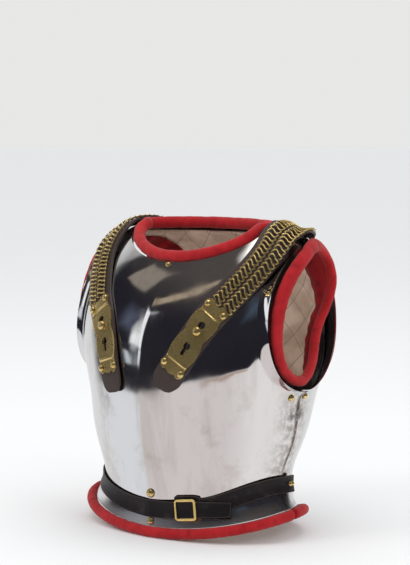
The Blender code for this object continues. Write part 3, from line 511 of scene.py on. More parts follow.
# The same, with its faces turned outward.
def closedTube(rings, closed):
    count, sides = rings.shape[:2]
    faces = tubeFaces(count, sides, closed)
    points = rings.reshape(-1, 3)
    walls = (points - points.mean(0))[np.array(faces[: (count - 1) * sides])]
    volume = (walls[:, 0] * np.cross(walls[:, 1] - walls[:, 0], walls[:, 2] - walls[:, 0])).sum()
    return points, [face[::-1] for face in faces] if volume < 0 else faces


def tube(name, rings, closed, material, slot, nodes, lay):
    points, faces = closedTube(rings, closed)
    return addMesh(name, points, faces, material, slot, nodes, lay), treeOf(points, faces)


# Shade for a material's hollows, 0 to 1 at each point.
def shadeLay(shade, rubbed=0.0):
    return np.stack([0 * shade, 0 * shade + rubbed, shade], axis=-1)


# (y, height) up the side, round the armhole and over the shoulder.
def wallEdges(front, lap, hem, counts, span, inset=lambda swing: 0.0 * swing):
    low = armEdge(np.array(0.0), inset(np.array(0.0)))[1]
    share = 1 - (1 - np.linspace(0, 1, counts[0])) ** 1.35
    height = hem + (low - hem) * share
    side = np.stack([seam(height) - lap, height], axis=-1)
    swing = np.radians(np.linspace(span[0], span[1], counts[1])) * (1 if front else -1)
    around = np.stack(armEdge(swing, inset(swing)), axis=-1)
    last = around[-1]
    goal = np.array([body["ridge"][0 if front else 1], body["shoulder"]])
    over = last + (goal - last) * np.linspace(0, 1, counts[2] + 1)[1:, None]
    return np.concatenate([side, around, over])


def wallGrid(front, edges, count, drop=0.0):
    y, height = edges[:, :1], edges[:, 1:]
    at = np.linspace(-1, 1, count)
    shares = (0.45 * at + 0.55 * np.sin(pi * at / 2))[None]
    edge = turnAt(y, height)
    turn = shares * edge if front else pi - shares * (pi - edge)
    over = np.maximum(height - body["fold"], 0) / (body["shoulder"] - body["fold"])
    level = np.minimum(height, body["fold"]) + over * (neckHeight(turn) - body["fold"] - drop)
    return turn, level, bare(turn, level), outward(turn, level)


# The two steel plates. The breast laps over the back at the sides.
plates = {"breast": 0.0026, "back": 0.0015, "under": 0.0009, "lap": 0.012, "lapFade": 0.024, "columns": 161}
backOut = -(plates["breast"] + plates["under"])
# Reaches of the dirt beside the seam, away from it and up the side, and of a dark band round the waist, which
# is a painted reflection of the belt.
dirtAndBeltReflection = {
    "middle": 0.004,
    "near": 0.0065,
    "wide": 0.050,
    "top": 0.21,
    "end": 0.235,
    "fade": 0.05,
    "waist": 0.016,
    "above": 0.010,
    "line": 0.006,
}


def seamDirtAndBeltReflection(points):
    height = points[..., 2]
    waist = lift(pi / 2, 0.03)
    side = np.abs(points[..., 1] - seam(height) + dirtAndBeltReflection["middle"])
    # A dark band round the waist: a painted reflection of the belt, mixed into the soot and the rust.
    low = smooth(1 - np.abs(height - waist - dirtAndBeltReflection["waist"]) / dirtAndBeltReflection["line"])
    near = np.maximum(smooth(1 - side / dirtAndBeltReflection["near"]) * (height < dirtAndBeltReflection["top"]), 0.35 * low)
    wide = smooth(1 - side / dirtAndBeltReflection["wide"]) * smooth((dirtAndBeltReflection["end"] - height) / dirtAndBeltReflection["fade"])
    flange = smooth((waist + dirtAndBeltReflection["above"] - height) / dirtAndBeltReflection["waist"])
    return np.stack([near, np.maximum(wide, 0.5 * low), flange], axis=-1)


def steelPlate(name, front, node, rows, span, bevel):
    lap = 0.0 if front else plates["lap"]
    thick = plates["breast" if front else "back"]
    edges = wallEdges(front, lap, steelHem, rows, span)
    turn, level, base, normal = wallGrid(front, edges, plates["columns"])
    out = flare(base, normal)
    if not front:
        start = seam(base[..., 2]) - lap
        out = backOut + out * smooth((base[..., 1] - start) / plates["lapFade"])
    outer = base + normal * out[..., None]
    inner = outer - normal * thick
    return shell(name, outer, inner, not front, steel, "polished_steel", [node], seamDirtAndBeltReflection(base), bevel)[1]


breastTree = steelPlate("steelBreast", True, "breastplate", (58, 100, 10), (2, 154), (0.0008, 3))
backTree = steelPlate("steelBack", False, "backplate", (58, 104, 10), (2, 172), (0.0005, 2))
print("plates made")

# swing from the bottom, distance of the roll's middle from the edge, its height over the steel
rollFront = makeCurve(
    [
        (0, 1.50, -0.57),
        (45, 1.69, -0.14),
        (90, 1.74, 0.43),
        (135, 1.54, 0.86),
        (180, 1.50, 1.14),
    ]
)
rollBack = makeCurve(
    [
        (0, 1.50, -0.57),
        (25, 2.00, -1.43),
        (50, 2.43, -2.50),
        (75, 2.43, -2.64),
        (100, 2.07, -0.64),
        (122, 1.71, 1.00),
        (150, 1.50, 1.29),
        (180, 1.50, 1.14),
    ]
)


def rollAt(swing):
    swing = (swing + pi) % (2 * pi) - pi
    turned = np.abs(swing) / pi * 180
    ahead, behind = rowAt(rollFront, turned), rowAt(rollBack, turned)
    return np.moveaxis(np.where((swing >= 0)[..., None], ahead, behind), -1, 0) * rolls["arm"]


# Creases are sums of waves whose counts close on themselves.
def creases(along, around, counts, seed):
    pick = np.random.default_rng(seed)
    total = 0.0 * along * around
    for count in range(counts[0], counts[1]):
        phase, lean, power = pick.uniform(0, 2 * pi), pick.integers(-2, 3), pick.uniform(0.4, 1.0)
        total = total + power * np.sin(2 * pi * count * along + lean * around + phase)
    return total / np.sqrt(counts[1] - counts[0])


# The first lay value is painted shade on the red wool, 0 to 1.
def paintedShadeLay(shape, paintedShade):
    lay = np.zeros((*shape, 3))
    lay[..., 0] = np.clip(paintedShade, 0, 1)
    return lay


def hemRoll(name, turns, node, seed):
    centre, normal = skin(turns, hemLevel, rolls["out"]), outward(turns, hemLevel)
    flat = unit(normal * np.array([1, 1, 0]))
    share = np.linspace(0, 1, len(turns))
    angle = wheel(24)[None]
    wave = creases(share[:, None], angle, (14, 44), seed)
    length = 0.5 - np.abs(share - 0.5)
    rounded = np.sqrt(np.clip(1 - (1 - np.minimum(length / rolls["rounding"], 1)) ** 2, 0.02, 1))
    radius = rolls["hem"] * (1.0 + rolls["hemFold"] * np.minimum(wave, 0.6)) * rounded[:, None]
    rings = hoops(centre, flat, np.array([0, 0, 1]), radius, angle)
    rings[..., 2] = np.maximum(rings[..., 2], 0.0)
    # Painted shade in the troughs of the creases.
    lay = paintedShadeLay(wave.shape, -wave * 0.5 - 0.15)
    made = tube(name, rings, False, wool, "red_cloth", [node], lay)[0]


seamTurn = float(turnAt(seam(steelHem), steelHem))
halves = (("Front", -seamTurn, seamTurn, 3), ("Back", seamTurn, 2 * pi - seamTurn, 4))
for word, first, last, seed in halves:
    turns = np.linspace(first + 0.003, last - 0.003, 260)
    hemRoll("hemRoll" + word, turns, "hem_trim_" + word.lower(), seed)


def neckRoll():
    turns = np.linspace(0, 2 * pi, 2001)
    line = bare(turns, neckHeight(turns))
    lengths = np.concatenate([[0], np.cumsum(np.linalg.norm(np.diff(line, axis=0), axis=1))])
    turns = np.interp(np.linspace(0, lengths[-1], 321)[:-1], lengths, turns)
    edge, normal = bare(turns, neckHeight(turns)), outward(turns, neckHeight(turns))
    along = bare(turns + 1e-3, neckHeight(turns + 1e-3)) - bare(turns - 1e-3, neckHeight(turns - 1e-3))
    upward = unit(np.cross(normal, along))
    flip = (upward * (np.array([0, 0.028, 0.02]) - edge * np.array([1, 1, 0]))).sum(-1) < 0
    upward = np.where(flip[:, None], -upward, upward)
    for _ in range(30):
        upward = unit((np.roll(upward, 1, 0) + upward * 2 + np.roll(upward, -1, 0)))
    share = np.linspace(0, 1, 321)[:-1]
    angle = wheel(28)[None]
    centre = edge - normal * rolls["neckIn"] + upward * (rolls["neck"] + rolls["neckUp"])
    wave = creases(share[:, None], angle, (9, 40), 8)
    radius = rolls["neck"] * (1.0 + rolls["neckFold"] * np.minimum(wave, 0.7))
    rings = hoops(centre, normal, upward, radius, angle)
    # Painted shade in the troughs of the creases.
    made, tree = tube(
        "neckRoll", rings, True, wool, "red_cloth", ["neck_trim_front", "neck_trim_back"],
        paintedShadeLay(wave.shape, -wave * 0.55 - 0.12),
    )
    return tree


neckTree = neckRoll()

lining = {
    "thick": 0.005,
    "gap": 0.00115,
    "drop": 0.0024,
    "sag": 0.045,
    "pitch": 0.052,
    "puff": 0.0032,
    "flat": (0.020, 0.03),
    "girth": 0.165,
    "over": 0.0012,
    "underRoll": 1.17,
    "meets": 0.43,
    "laps": (plates["lap"] + 0.0034, plates["lap"] - 0.0010),
}
breastIn = -(plates["breast"] + lining["gap"])
backIn = backOut - plates["back"] - lining["gap"]


def liningInset(swing):
    return rollAt(np.asarray(swing))[0] - lining["underRoll"] * rolls["arm"]


liningSwings = np.radians(np.arange(0, 360, 0.5))
liningLine = armPoint(liningSwings, liningInset(liningSwings), 0.0)


# Height over the steel of a lining's outer face, which meets the roll at the armhole.
def bend(points, base):
    flat = (points * np.where(points < 0, -1, 1) * [1, 0, 0] + points * [0, 1, 1]).reshape(-1, 3)
    level = np.broadcast_to(base, points.shape[:-1]).ravel()
    spread = np.concatenate(
        [np.linalg.norm(liningLine[None] - chunk[:, None], axis=-1) for chunk in np.array_split(flat, 40)]
    )
    nearest = np.exp(-((spread - spread.min(1, keepdims=True)) / 0.004) ** 2)
    high = rollAt(liningSwings)[1] - lining["meets"] * rolls["arm"]
    goal = (nearest * np.minimum(high, level[:, None])).sum(1) / nearest.sum(1)
    away = spread.min(1)
    found = level + (goal - level) * smooth(1 - away / lining["sag"])
    return found.reshape(points.shape[:-1]), away.reshape(points.shape[:-1])


def liningPiece(name, front, lap, inside, node, span):
    edges = wallEdges(front, lap, steelHem + 0.0002, (60, 90, 9), span, liningInset)
    turn, level, base, normal = wallGrid(front, edges, 141, lining["drop"])
    high, away = bend(base, inside)
    around = (turn if front else turn - pi) * lining["girth"]
    first = (around + level) / lining["pitch"]
    second = (around - level) / lining["pitch"]
    swell = np.sqrt(np.abs(np.sin(pi * first) * np.sin(pi * second)) + 0.0004)
    swell = swell * smooth((away - lining["flat"][0]) / lining["flat"][1])
    deep = lining["thick"] - lining["over"] + lining["puff"] * swell
    outer = base + normal * high[..., None]
    inner = outer - normal * deep[..., None]
    # The outer face, toward the steel, is marked -1: it is painted near black, a painted shade.
    lay = np.stack([np.stack([first, second, mark], axis=-1) for mark in (0 * swell - 1, swell)])
    made = shell(name, outer, inner, not front, satin, "beige_quilt", [node], lay, None)[0]


liningPiece("quiltBreast", True, lining["laps"][0], breastIn, "breast_lining", (5, 153))
liningPiece("quiltBack", False, lining["laps"][1], backIn, "back_lining", (4, 168))
print("linings made")


# An armhole's cloth: a roll, and a gathered facing turned in over the lining.
facing = {
    "wide": 0.030,
    "narrow": 0.6,
    "start": 0.86,
    "off": 0.0012,
    "gather": 0.0008,
    "loose": 0.0085,
    "looseGather": 0.0004,
    "groove": 0.0028,
    "thick": 0.0008,
    "rollFold": 0.035,
}


def armCloth(hand, word):
    count = 300
    share = np.linspace(0, 1, count + 1)[:-1]
    swing = share * 2 * pi
    signed = (swing + pi) % (2 * pi) - pi
    behind = smooth(0.5 - np.sin(swing) * 3.0)
    inside = breastIn + (backIn - breastIn) * behind
    full = facing["wide"] * (0.5 + 0.5 * smooth(0.5 - np.sin(swing) * 1.2))
    wide = full * (1 - facing["narrow"] * smooth((np.abs(signed) - 1.9) / 0.9))
    away, high = rollAt(swing)
    soft = np.stack([away, high])
    for _ in range(4):
        soft = (np.roll(soft, 1, 1) + soft + np.roll(soft, -1, 1)) / 3
    away, high = soft
    angle = np.radians(np.linspace(262, 596, 25))[None]
    wave = creases(share[:, None], angle, (12, 46), 11 + hand)
    radius = rolls["arm"] * (1.0 + facing["rollFold"] * np.minimum(wave, 0.7))
    spread = np.broadcast_to(swing[:, None], radius.shape)
    rounded = armPoint(
        spread, away[:, None] + radius * np.cos(angle), high[:, None] + radius * np.sin(angle), hand
    )
    steps = np.linspace(0, 1, 12)[None]
    start = (away - facing["start"] * rolls["arm"])[:, None] - steps * wide[:, None]
    spread = np.broadcast_to(swing[:, None], start.shape)
    level, _ = bend(armPoint(spread, start, 0.0 * start), inside[:, None])
    gather = creases(share[:, None], 0 * steps, (14, 38), 21 + hand)
    loose = smooth((-np.sin(swing) - 0.25) / 0.5)[:, None] * np.sin(pi * np.clip(steps * 1.15, 0, 1)) ** 0.8
    groove = np.exp(-(((steps - 0.42) / 0.12) ** 2))
    lifted = facing["gather"] * np.maximum(gather + 0.8, 0) * smooth(steps / 0.25) * (1 - 0.8 * steps)
    lifted = facing["off"] + lifted
    lifted = lifted + loose * (facing["loose"] + facing["looseGather"] * gather - facing["groove"] * groove)
    top = level - lining["thick"] - lifted
    face = armPoint(spread, start, top, hand)
    back = armPoint(spread, start, top + facing["thick"], hand)
    rings = np.concatenate([rounded, face, back[:, ::-1]], axis=1)
    # Painted shade: the roll is darker in its crease troughs, and the facing and its back are darkened, the
    # facing less where its gathers rise.
    shade = 0.8 + 0 * steps - 0.3 * gather
    paintedClothShade = np.concatenate([-wave * 0.55 - 0.12, shade, 0 * shade + 0.8], axis=1)
    nodes = ["armhole_trim_front_" + word, "armhole_trim_back_" + word]
    made, tree = tube("armCloth_" + word, rings, True, wool, "red_cloth", nodes, paintedShadeLay(paintedClothShade.shape, paintedClothShade))
    return tree


armTrees = {hand: armCloth(hand, word) for hand, word in ((1, "left"), (-1, "right"))}
print("rolls made")


# The body's point nearest to a given one, from a first guess.
def settle(point, turn, height):
    for _ in range(6):
        here = bare(turn, height)
        byTurn = (bare(turn + 1e-4, height) - here) / 1e-4
        byHeight = (here - bare(turn, height - 1e-5)) / 1e-5
        away = point - here
        a, b, c = ((p * q).sum(-1) for p, q in ((byTurn, byTurn), (byTurn, byHeight), (byHeight, byHeight)))
        d, e = (byTurn * away).sum(-1), (byHeight * away).sum(-1)
        whole = a * c - b * b
        turn = turn + np.clip((c * d - b * e) / whole, -0.2, 0.2)
        height = np.clip(height + (a * e - b * d) / whole, 0.001, body["top"] - 0.0005)
    return turn, height


# Height of the shapes under a point that is held off the body by the probe's length.
probe = 0.03


def heightOf(point, normal, shapes):
    hits = [tree.ray_cast(Vector(point), Vector(-normal), 2 * probe)[3] for tree in shapes]
    return probe - min([hit for hit in hits if hit is not None], default=1.0)


# A line on the body, measured by length, on which straps and plates are laid.
class Route:
    def __init__(self, stops, flared=True):
        curve = makeCurve([(k, *stop) for k, stop in enumerate(stops)])
        self.stops = rowAt(curve, np.linspace(0, len(stops) - 1, 40 * (len(stops) - 1) + 1))
        line = bare(self.stops[:, 0], self.stops[:, 1])
        self.lengths = np.concatenate([[0], np.cumsum(np.linalg.norm(np.diff(line, axis=0), axis=1))])
        self.length = float(self.lengths[-1])
        self.flared = flared

    def at(self, s):
        return [np.interp(s, self.lengths, column) for column in self.stops.T]

    def lay(self, s, across, out):
        s, across, out = np.broadcast_arrays(s, across, out)
        turn, height = self.at(s)[:2]
        ahead = self.at(np.minimum(s + 0.002, self.length))
        behind = self.at(np.maximum(s - 0.002, 0.0))
        along = bare(ahead[0], ahead[1]) - bare(behind[0], behind[1])
        side = unit(np.cross(along, outward(turn, height)))
        turn, height = settle(bare(turn, height) + side * across[..., None], turn, height)
        base, normal = bare(turn, height), outward(turn, height)
        roll = flare(base, normal) if self.flared else 0.0
        return base + normal * (out + roll)[..., None], normal

    # Height of the shapes over the body, point by point.
    def over(self, s, across, shapes):
        points, normals = self.lay(s, across, probe)
        found = np.full(points.shape[:-1], -0.02)
        for spot in np.ndindex(found.shape):
            found[spot] = max(found[spot], heightOf(points[spot], normals[spot], shapes))
        return found


def neighbours(field):
    padded = np.pad(field, 1, mode="edge")
    rows, columns = field.shape
    return [padded[r : r + rows, c : c + columns] for r in range(3) for c in range(3)]


# A field raised to its neighbours' height and eased, never below itself.
def soften(field, rounds):
    grown = np.max(neighbours(field), axis=0)
    for _ in range(rounds):
        grown = np.maximum(np.mean(neighbours(grown), axis=0), field)
    return grown


# A band along a route. Half widths and heights come per station.
def band(name, route, s, half, out, thick, material, slot, nodes, bevel, columns=17, puff=None, ends=0.0):
    at = np.linspace(-1, 1, columns)[None]
    across = half[:, None] * at
    grid, normals = route.lay(s[:, None], across, out)
    under, _ = route.lay(s[:, None], across, out - thick)
    length = np.minimum(s - s[0], s[-1] - s)[:, None] if ends else 1.0 + 0 * s[:, None]
    rim = np.minimum(half[:, None] * (1 - np.abs(at)), length)
    # The third lay value is the distance to the rim, or puff when given, which for the hook plate carries
    # painted shade.
    lay = np.stack([s[:, None] + 0 * across, across, rim if puff is None else puff], axis=-1)
    flip = float(np.dot(np.cross(grid[0, -1] - grid[0, 0], grid[2, 0] - grid[0, 0]), normals[0, 0])) < 0
    return shell(name, grid, under, flip, material, slot, nodes, lay, bevel)


# One turned profile set on each of several places.
def turned(name, places, profile, nodes, sides=28):
    angle = wheel(sides)
    profile = np.array(profile)
    points, faces, shades = [], [], []
    for at, normal in places:
        first = unit(np.cross(normal, (0.0, 0.0, 1.0) if abs(normal[2]) < 0.9 else (1.0, 0.0, 0.0)))
        second = np.cross(normal, first)
        rings = hoops(at + profile[:, 1:2] * normal, first, second, profile[:, :1], angle)
        start = sum(len(p) for p in points)
        points.append(rings.reshape(-1, 3))
        shades.append(np.repeat(profile[:, 2], sides))
        faces += tubeFaces(len(profile), sides, False, start)
    lay = shadeLay(np.concatenate(shades))
    return addMesh(name, np.concatenate(points), faces, brass, "brass", nodes, lay)


# Each row holds a radius, a height and a painted shade, dark at the foot and in the dimple.
def domeProfile(radius, rise, dimple=0.0):
    angle = np.linspace(0, pi / 2, 9)
    rows = [(radius * 0.96, -0.0002, 0.9), (radius, 0.0, 0.8), (radius, rise * 0.12, 0.5)]
    for a in angle[1:-1]:
        rows.append((radius * 0.98 * cos(a), rise * (0.12 + 0.88 * sin(a)), 0.0))
    rows.append((radius * 0.10, rise - dimple * 0.4, 0.2 if dimple else 0.0))
    rows.append((radius * 0.04, rise - dimple, 0.9 if dimple else 0.0))
    return rows


def restOn(route, s, across, shapes, radius):
    ring = [(s, across)] + [
        (s + radius * cos(k * pi / 4), across + radius * sin(k * pi / 4)) for k in range(8)
    ]
    high = max(float(route.over(np.array([p]), np.array([q]), shapes)[0]) for p, q in ring)
    at, normal = route.lay(np.array([s]), np.array([across]), np.array([high + 0.0002]))
    return at[0], normal[0]


straps = {
    "wide": 0.0455,
    "tongue": 0.040,
    "thick": 0.003,
    "tongueLong": 0.036,
    "tongueEnd": 0.050,
    "rivetsApart": 0.0965,
    "rivetPair": 0.0288,
    "rivet": 0.0047,
    # share of the rivet's radius
    "rivetRise": 0.72,
    "rearTab": 0.026,
    # middle from the strap's end as a share of the tab, distance across as a share of the width
    "rearSpot": (0.42, 0.21),
    "rearRivet": (0.0042, 0.0028),
    "rounded": 0.006,
    "roundLong": 0.007,
    "clear": 0.0006,
    "starts": {"right": 0.0, "left": 0.0135},
    # height, turn in degrees on the wearer's right and left
    "route": (
        (0.460, 15.5, 9.4),
        (0.489, 15.9, 10.8),
        (0.520, 16.4, 12.8),
        (0.561, 17.3, 16.0),
        (0.626, 19.6, 20.9),
        (0.692, 25.0, 26.2),
        (0.743, 31.4, 31.3),
        (0.795, 37.2, 37.4),
        (0.861, 46.7, 46.7),
        (0.915, 56.0, 56.0),
        (0.953, 69.0, 69.0),
        (0.969, 89.0, 89.0),
        (0.969, 110.0, 110.0),
        (0.947, 134.0, 134.0),
        (0.900, 144.0, 144.0),
        (0.835, 149.0, 149.0),
        (0.777, 151.0, 151.0),
    ),
    "tip": ((0, 0.34), (0.04, 0.56), (0.10, 0.72), (0.25, 0.90), (0.50, 0.995), (0.80, 1.0), (1.12, 1.0)),
}
strapRise = makeCurve(
    [
        (0.00, 0.87),
        (0.12, 0.53),
        (0.25, 0.20),
        (0.38, 0.33),
        (0.50, 1.13),
        (0.60, 1.93),
        (0.72, 1.87),
        (0.82, 1.00),
        (0.92, -0.20),
        (1.00, -0.95),
    ]
)
hooks = {
    "thick": 0.0016,
    "wide": 0.040,
    "low": 0.366,
    "high": 0.715,
    "round": 0.0052,
    "slot": 0.0030,
    "slotDown": 0.0075,
    "studDown": 0.0062,
    "ridges": (0.115, 0.880),
    "ridge": 0.0010,
    "brim": 0.0003,
    # share of the way between the rivets, distance across, radius
    "notches": ((1.115, 0.0, 0.0062), (-0.105, -0.0072, 0.0034), (-0.105, 0.0072, 0.0034)),
    # radius, height, hollow shade
    "stud": (
        (0.0002, -0.0060, 0.9),
        (0.0021, -0.0058, 0.9),
        (0.0021, 0.0001, 0.9),
        (0.0060, 0.0002, 0.9),
        (0.0062, 0.0008, 0.4),
        (0.0060, 0.0020, 0.1),
        (0.0052, 0.0033, 0.0),
        (0.0040, 0.0042, 0.0),
        (0.0022, 0.0048, 0.0),
        (0.0003, 0.0050, 0.0),
    ),
    "outline": makeCurve(
        [
            (-0.090, 0.62),
            (-0.060, 0.84),
            (0.000, 0.93),
            (0.075, 0.84),
            (0.200, 0.95),
            (0.340, 1.00),
            (0.450, 0.93),
            (0.530, 0.84),
            (0.610, 0.93),
            (0.720, 1.00),
            (0.830, 0.97),
            (0.920, 0.88),
            (1.000, 0.97),
            (1.060, 0.90),
            (1.095, 0.66),
        ]
    ),
}
chains = {
    "wide": 0.0180,
    "apart": 0.0196,
    "wire": 0.00112,
    "pitch": 0.0074,
    "reach": 0.0034,
    "rise": 0.00115,
    "slant": -0.20,
    "curl": 0.0017,
    "aside": 0.0030,
    "start": 0.009,
    "sides": 8,
}


def cutter(rings):
    return addMesh("cutter", *closedTube(rings, False), brass, "brass", [])


# Cuts shapes from a piece and leaves it a plain mesh.
def carve(piece, cutters, bevel):
    piece.modifiers.clear()
    for shape in cutters:
        cut = piece.modifiers.new("Cut", "BOOLEAN")
        cut.operation = "DIFFERENCE"
        cut.solver = "EXACT"
        cut.object = shape
    roundEdges(piece, bevel, 45)
    graph = bpy.context.evaluated_depsgraph_get()
    mesh = bpy.data.meshes.new_from_object(piece.evaluated_get(graph))
    piece.modifiers.clear()
    piece.data = mesh
    for shape in cutters:
        bpy.data.objects.remove(shape, do_unlink=True)


def holeRings(route, s, outline, low=-0.004, high=0.016):
    s, across = s + outline[:, 1], outline[:, 0]
    middle, normal = route.lay(np.array([s.mean()]), np.array([0.0]), np.array([0.0]))
    base, _ = route.lay(s, across, 0.0 * s)
    flat = base - normal * ((base - middle) * normal).sum(-1, keepdims=True)
    return np.stack([flat + normal * low, flat + normal * high])


def keyhole():
    angle = np.radians(np.linspace(-55, 235, 19))
    outline = [(hooks["round"] * cos(a), hooks["round"] * sin(a)) for a in angle]
    reach = hooks["round"] * 0.75 + hooks["slotDown"]
    for a in np.radians(np.linspace(200, 340, 8)):
        outline.append((hooks["slot"] * cos(a), -reach + hooks["slot"] * sin(a)))
    return np.array(outline)


def discOutline(radius):
    return radius * np.stack([np.cos(wheel(24)), np.sin(wheel(24))], axis=-1)


# Closed loops of wire: a centre line per link, swept with a small circle.
def wireLoops(lines, ups, radius, sides):
    along = unit(np.roll(lines, -1, axis=1) - np.roll(lines, 1, axis=1))
    side = unit(np.cross(along, ups))
    high = np.cross(side, along)
    angle = wheel(sides)
    points = hoops(lines, side, high, radius, angle)
    links, steps = lines.shape[:2]
    faces = []
    for k in range(links):
        faces += tubeFaces(steps, sides, True, k * steps * sides)
    return points.reshape(-1, 3), faces


# A strap, from its tongue on the chest to its end on the back.
def shoulderStrap(route, hand, word, tip, high):
    tongue = tip + straps["tongue"] * np.linspace(0, 1.12, 26) ** 1.5
    s = np.concatenate([tongue, np.linspace(tip + straps["tongueEnd"], route.length, 150)])
    share = rowAt(makeCurve(straps["tip"]), (s - tip) / straps["tongue"])[:, 0]
    grow = smooth((s / (high + 2 * straps["rivet"]) - 0.35) / 0.56)
    half = (straps["tongue"] + (straps["wide"] - straps["tongue"]) * grow) / 2 * share
    half = half - straps["rounded"] * smooth((s - route.length) / straps["roundLong"] + 1) ** 2
    at = np.linspace(-1, 1, 17)[None]
    beneath = route.over(s[:, None], half[:, None] * at, [breastTree, backTree, neckTree, armTrees[hand]])
    thick = straps["thick"]
    rise = (gap + thick * (1 + rowAt(strapRise, s / route.length)[:, 0]))[:, None]
    out = np.maximum(rise + 0 * at, soften(beneath, 5) + thick + straps["clear"])
    return band(
        "strap_" + word, route, s, half, out, thick, leather, "dark_leather", ["shoulder_strap_" + word],
        (0.0009, 3), ends=1.0,
    )


# The hook plate on it, with its ridges and its raised brim.
def hookPlate(route, word, low, strapTree):
    along = np.linspace(-0.090, 1.095, 96)
    at = np.linspace(-1, 1, 17)[None]
    wide = rowAt(hooks["outline"], along)[:, 0] * hooks["wide"] / 2
    s = low + along * straps["rivetsApart"]
    ridge = sum(np.exp(-(((along - spot) / 0.013) ** 2)) for spot in hooks["ridges"])
    brim = smooth((np.abs(at) - 0.80) / 0.12) * (1 - smooth((np.abs(at) - 0.93) / 0.07))
    swell = hooks["ridge"] * ridge[:, None] * (1 - np.abs(at) ** 6) + hooks["brim"] * brim
    laid = soften(route.over(s[:, None], wide[:, None] * at, [strapTree]), 3) + gap + hooks["thick"]
    # Painted shade with patina in the groove inside the brim and beside the ridges.
    hollowShadeAndPatina = 0.55 * np.exp(-(((np.abs(at) - 0.76) / 0.05) ** 2)) + 0 * swell
    beside = [np.exp(-(((along - spot) / 0.03) ** 2)) - ridge for spot in hooks["ridges"]]
    shade = np.clip(hollowShadeAndPatina + np.clip(beside, 0, 1).sum(0)[:, None], 0, 1)
    return band(
        "hookPlate_" + word, route, s, wide, laid + swell, hooks["thick"] + swell, brass, "brass",
        ["hook_plate_" + word], None, puff=shade,
    )


# Keyholes through both, and notches in the plate's ends.
def punch(route, low, strap, plate):
    holes = [low + hooks[key] * straps["rivetsApart"] for key in ("low", "high")]
    through = [[cutter(holeRings(route, hole, keyhole())) for hole in holes] for k in range(2)]
    for share, across, radius in hooks["notches"]:
        outline = discOutline(radius) + np.array([across, 0.0])
        through[1].append(cutter(holeRings(route, low + share * straps["rivetsApart"], outline, 0.001)))
    carve(strap, through[0], (0.0008, 3))
    carve(plate, through[1], (0.0004, 2))


# Rivets, the stud in the keyhole and the rear rivets.
def fasten(route, word, low, high, strapTree, plateTree):
    spots = [(spot, side * straps["rivetPair"] / 2) for spot in (low, high) for side in (-1, 1)]
    places = [restOn(route, spot, across, [plateTree], 0.003) for spot, across in spots]
    names = ["plate_rivet_%s_%s" % (word, mark) for mark in ("low_a", "low_b", "high_a", "high_b")]
    dome = domeProfile(straps["rivet"], straps["rivetRise"] * straps["rivet"])
    turned("plateRivets_" + word, places, dome, names)
    spot = low + hooks["high"] * straps["rivetsApart"] - hooks["round"] * 0.75 - hooks["studDown"]
    place = restOn(route, spot, 0.0, [plateTree], 0.006)
    turned("strapStud_" + word, [place], hooks["stud"], ["strap_stud_" + word], 32)
    back = route.length - straps["rearSpot"][0] * straps["rearTab"]
    across = straps["rearSpot"][1] * straps["wide"]
    places = [restOn(route, back, side * across, [strapTree], 0.003) for side in (-1, 1)]
    names = ["rear_rivet_%s_%s" % (word, mark) for mark in ("a", "b")]
    turned("rearRivets_" + word, places, domeProfile(*straps["rearRivet"]), names)


# A curb chain: each link is a slanted ring whose raised side curls like an S.
def curbChain(route, hand, word, mark, first, shapes):
    last = route.length - straps["rearTab"]
    count = int((last - first) / chains["pitch"])
    side = {"inner": -1, "outer": 1}[mark]
    middle = (side * chains["apart"] / 2 + chains["aside"]) * hand
    t = wheel(24)
    wideAt = (chains["wide"] / 2 - chains["wire"]) * np.cos(t)
    bow = chains["reach"] * np.sin(t) + chains["slant"] * wideAt - chains["curl"] * np.sin(pi * np.cos(t))
    starts = first + (np.arange(count + 1)[:, None] + 0.3) * (last - first) / (count + 0.6)
    s = np.clip(starts + bow, 0, route.length)
    aside = middle + wideAt + 0 * s
    rise = np.sin(t) * chains["rise"] + 0 * s
    base = route.over(s, aside, shapes)
    clear = gap + chains["rise"] + chains["wire"] + 0.0001
    level = np.maximum(base, base.mean(1, keepdims=True)) + clear
    points, normals = route.lay(s, aside, level + rise)
    mesh, faces = wireLoops(points, normals, chains["wire"], chains["sides"])
    shade = np.repeat(np.clip(-rise.reshape(-1) / chains["rise"], 0, 1) * 0.7, chains["sides"])
    name = "chain_%s_%s" % (mark, word)
    addMesh(name, mesh, faces, brass, "brass", [name], shadeLay(shade))


def shoulderSet(hand, word, column):
    route = Route([(hand * radians(stop[column]), stop[0] * body["top"]) for stop in straps["route"]])
    tip = straps["starts"][word]
    low = straps["tongueLong"] + tip
    high = low + straps["rivetsApart"]
    strap, strapTree = shoulderStrap(route, hand, word, tip, high)
    plate, plateTree = hookPlate(route, word, low, strapTree)
    punch(route, low, strap, plate)
    fasten(route, word, low, high, strapTree, plateTree)
    for mark in ("inner", "outer"):
        curbChain(route, hand, word, mark, high + chains["start"], [strapTree, neckTree, armTrees[hand]])


shoulderSet(1, "left", 2)
shoulderSet(-1, "right", 1)
print("straps and chains made")

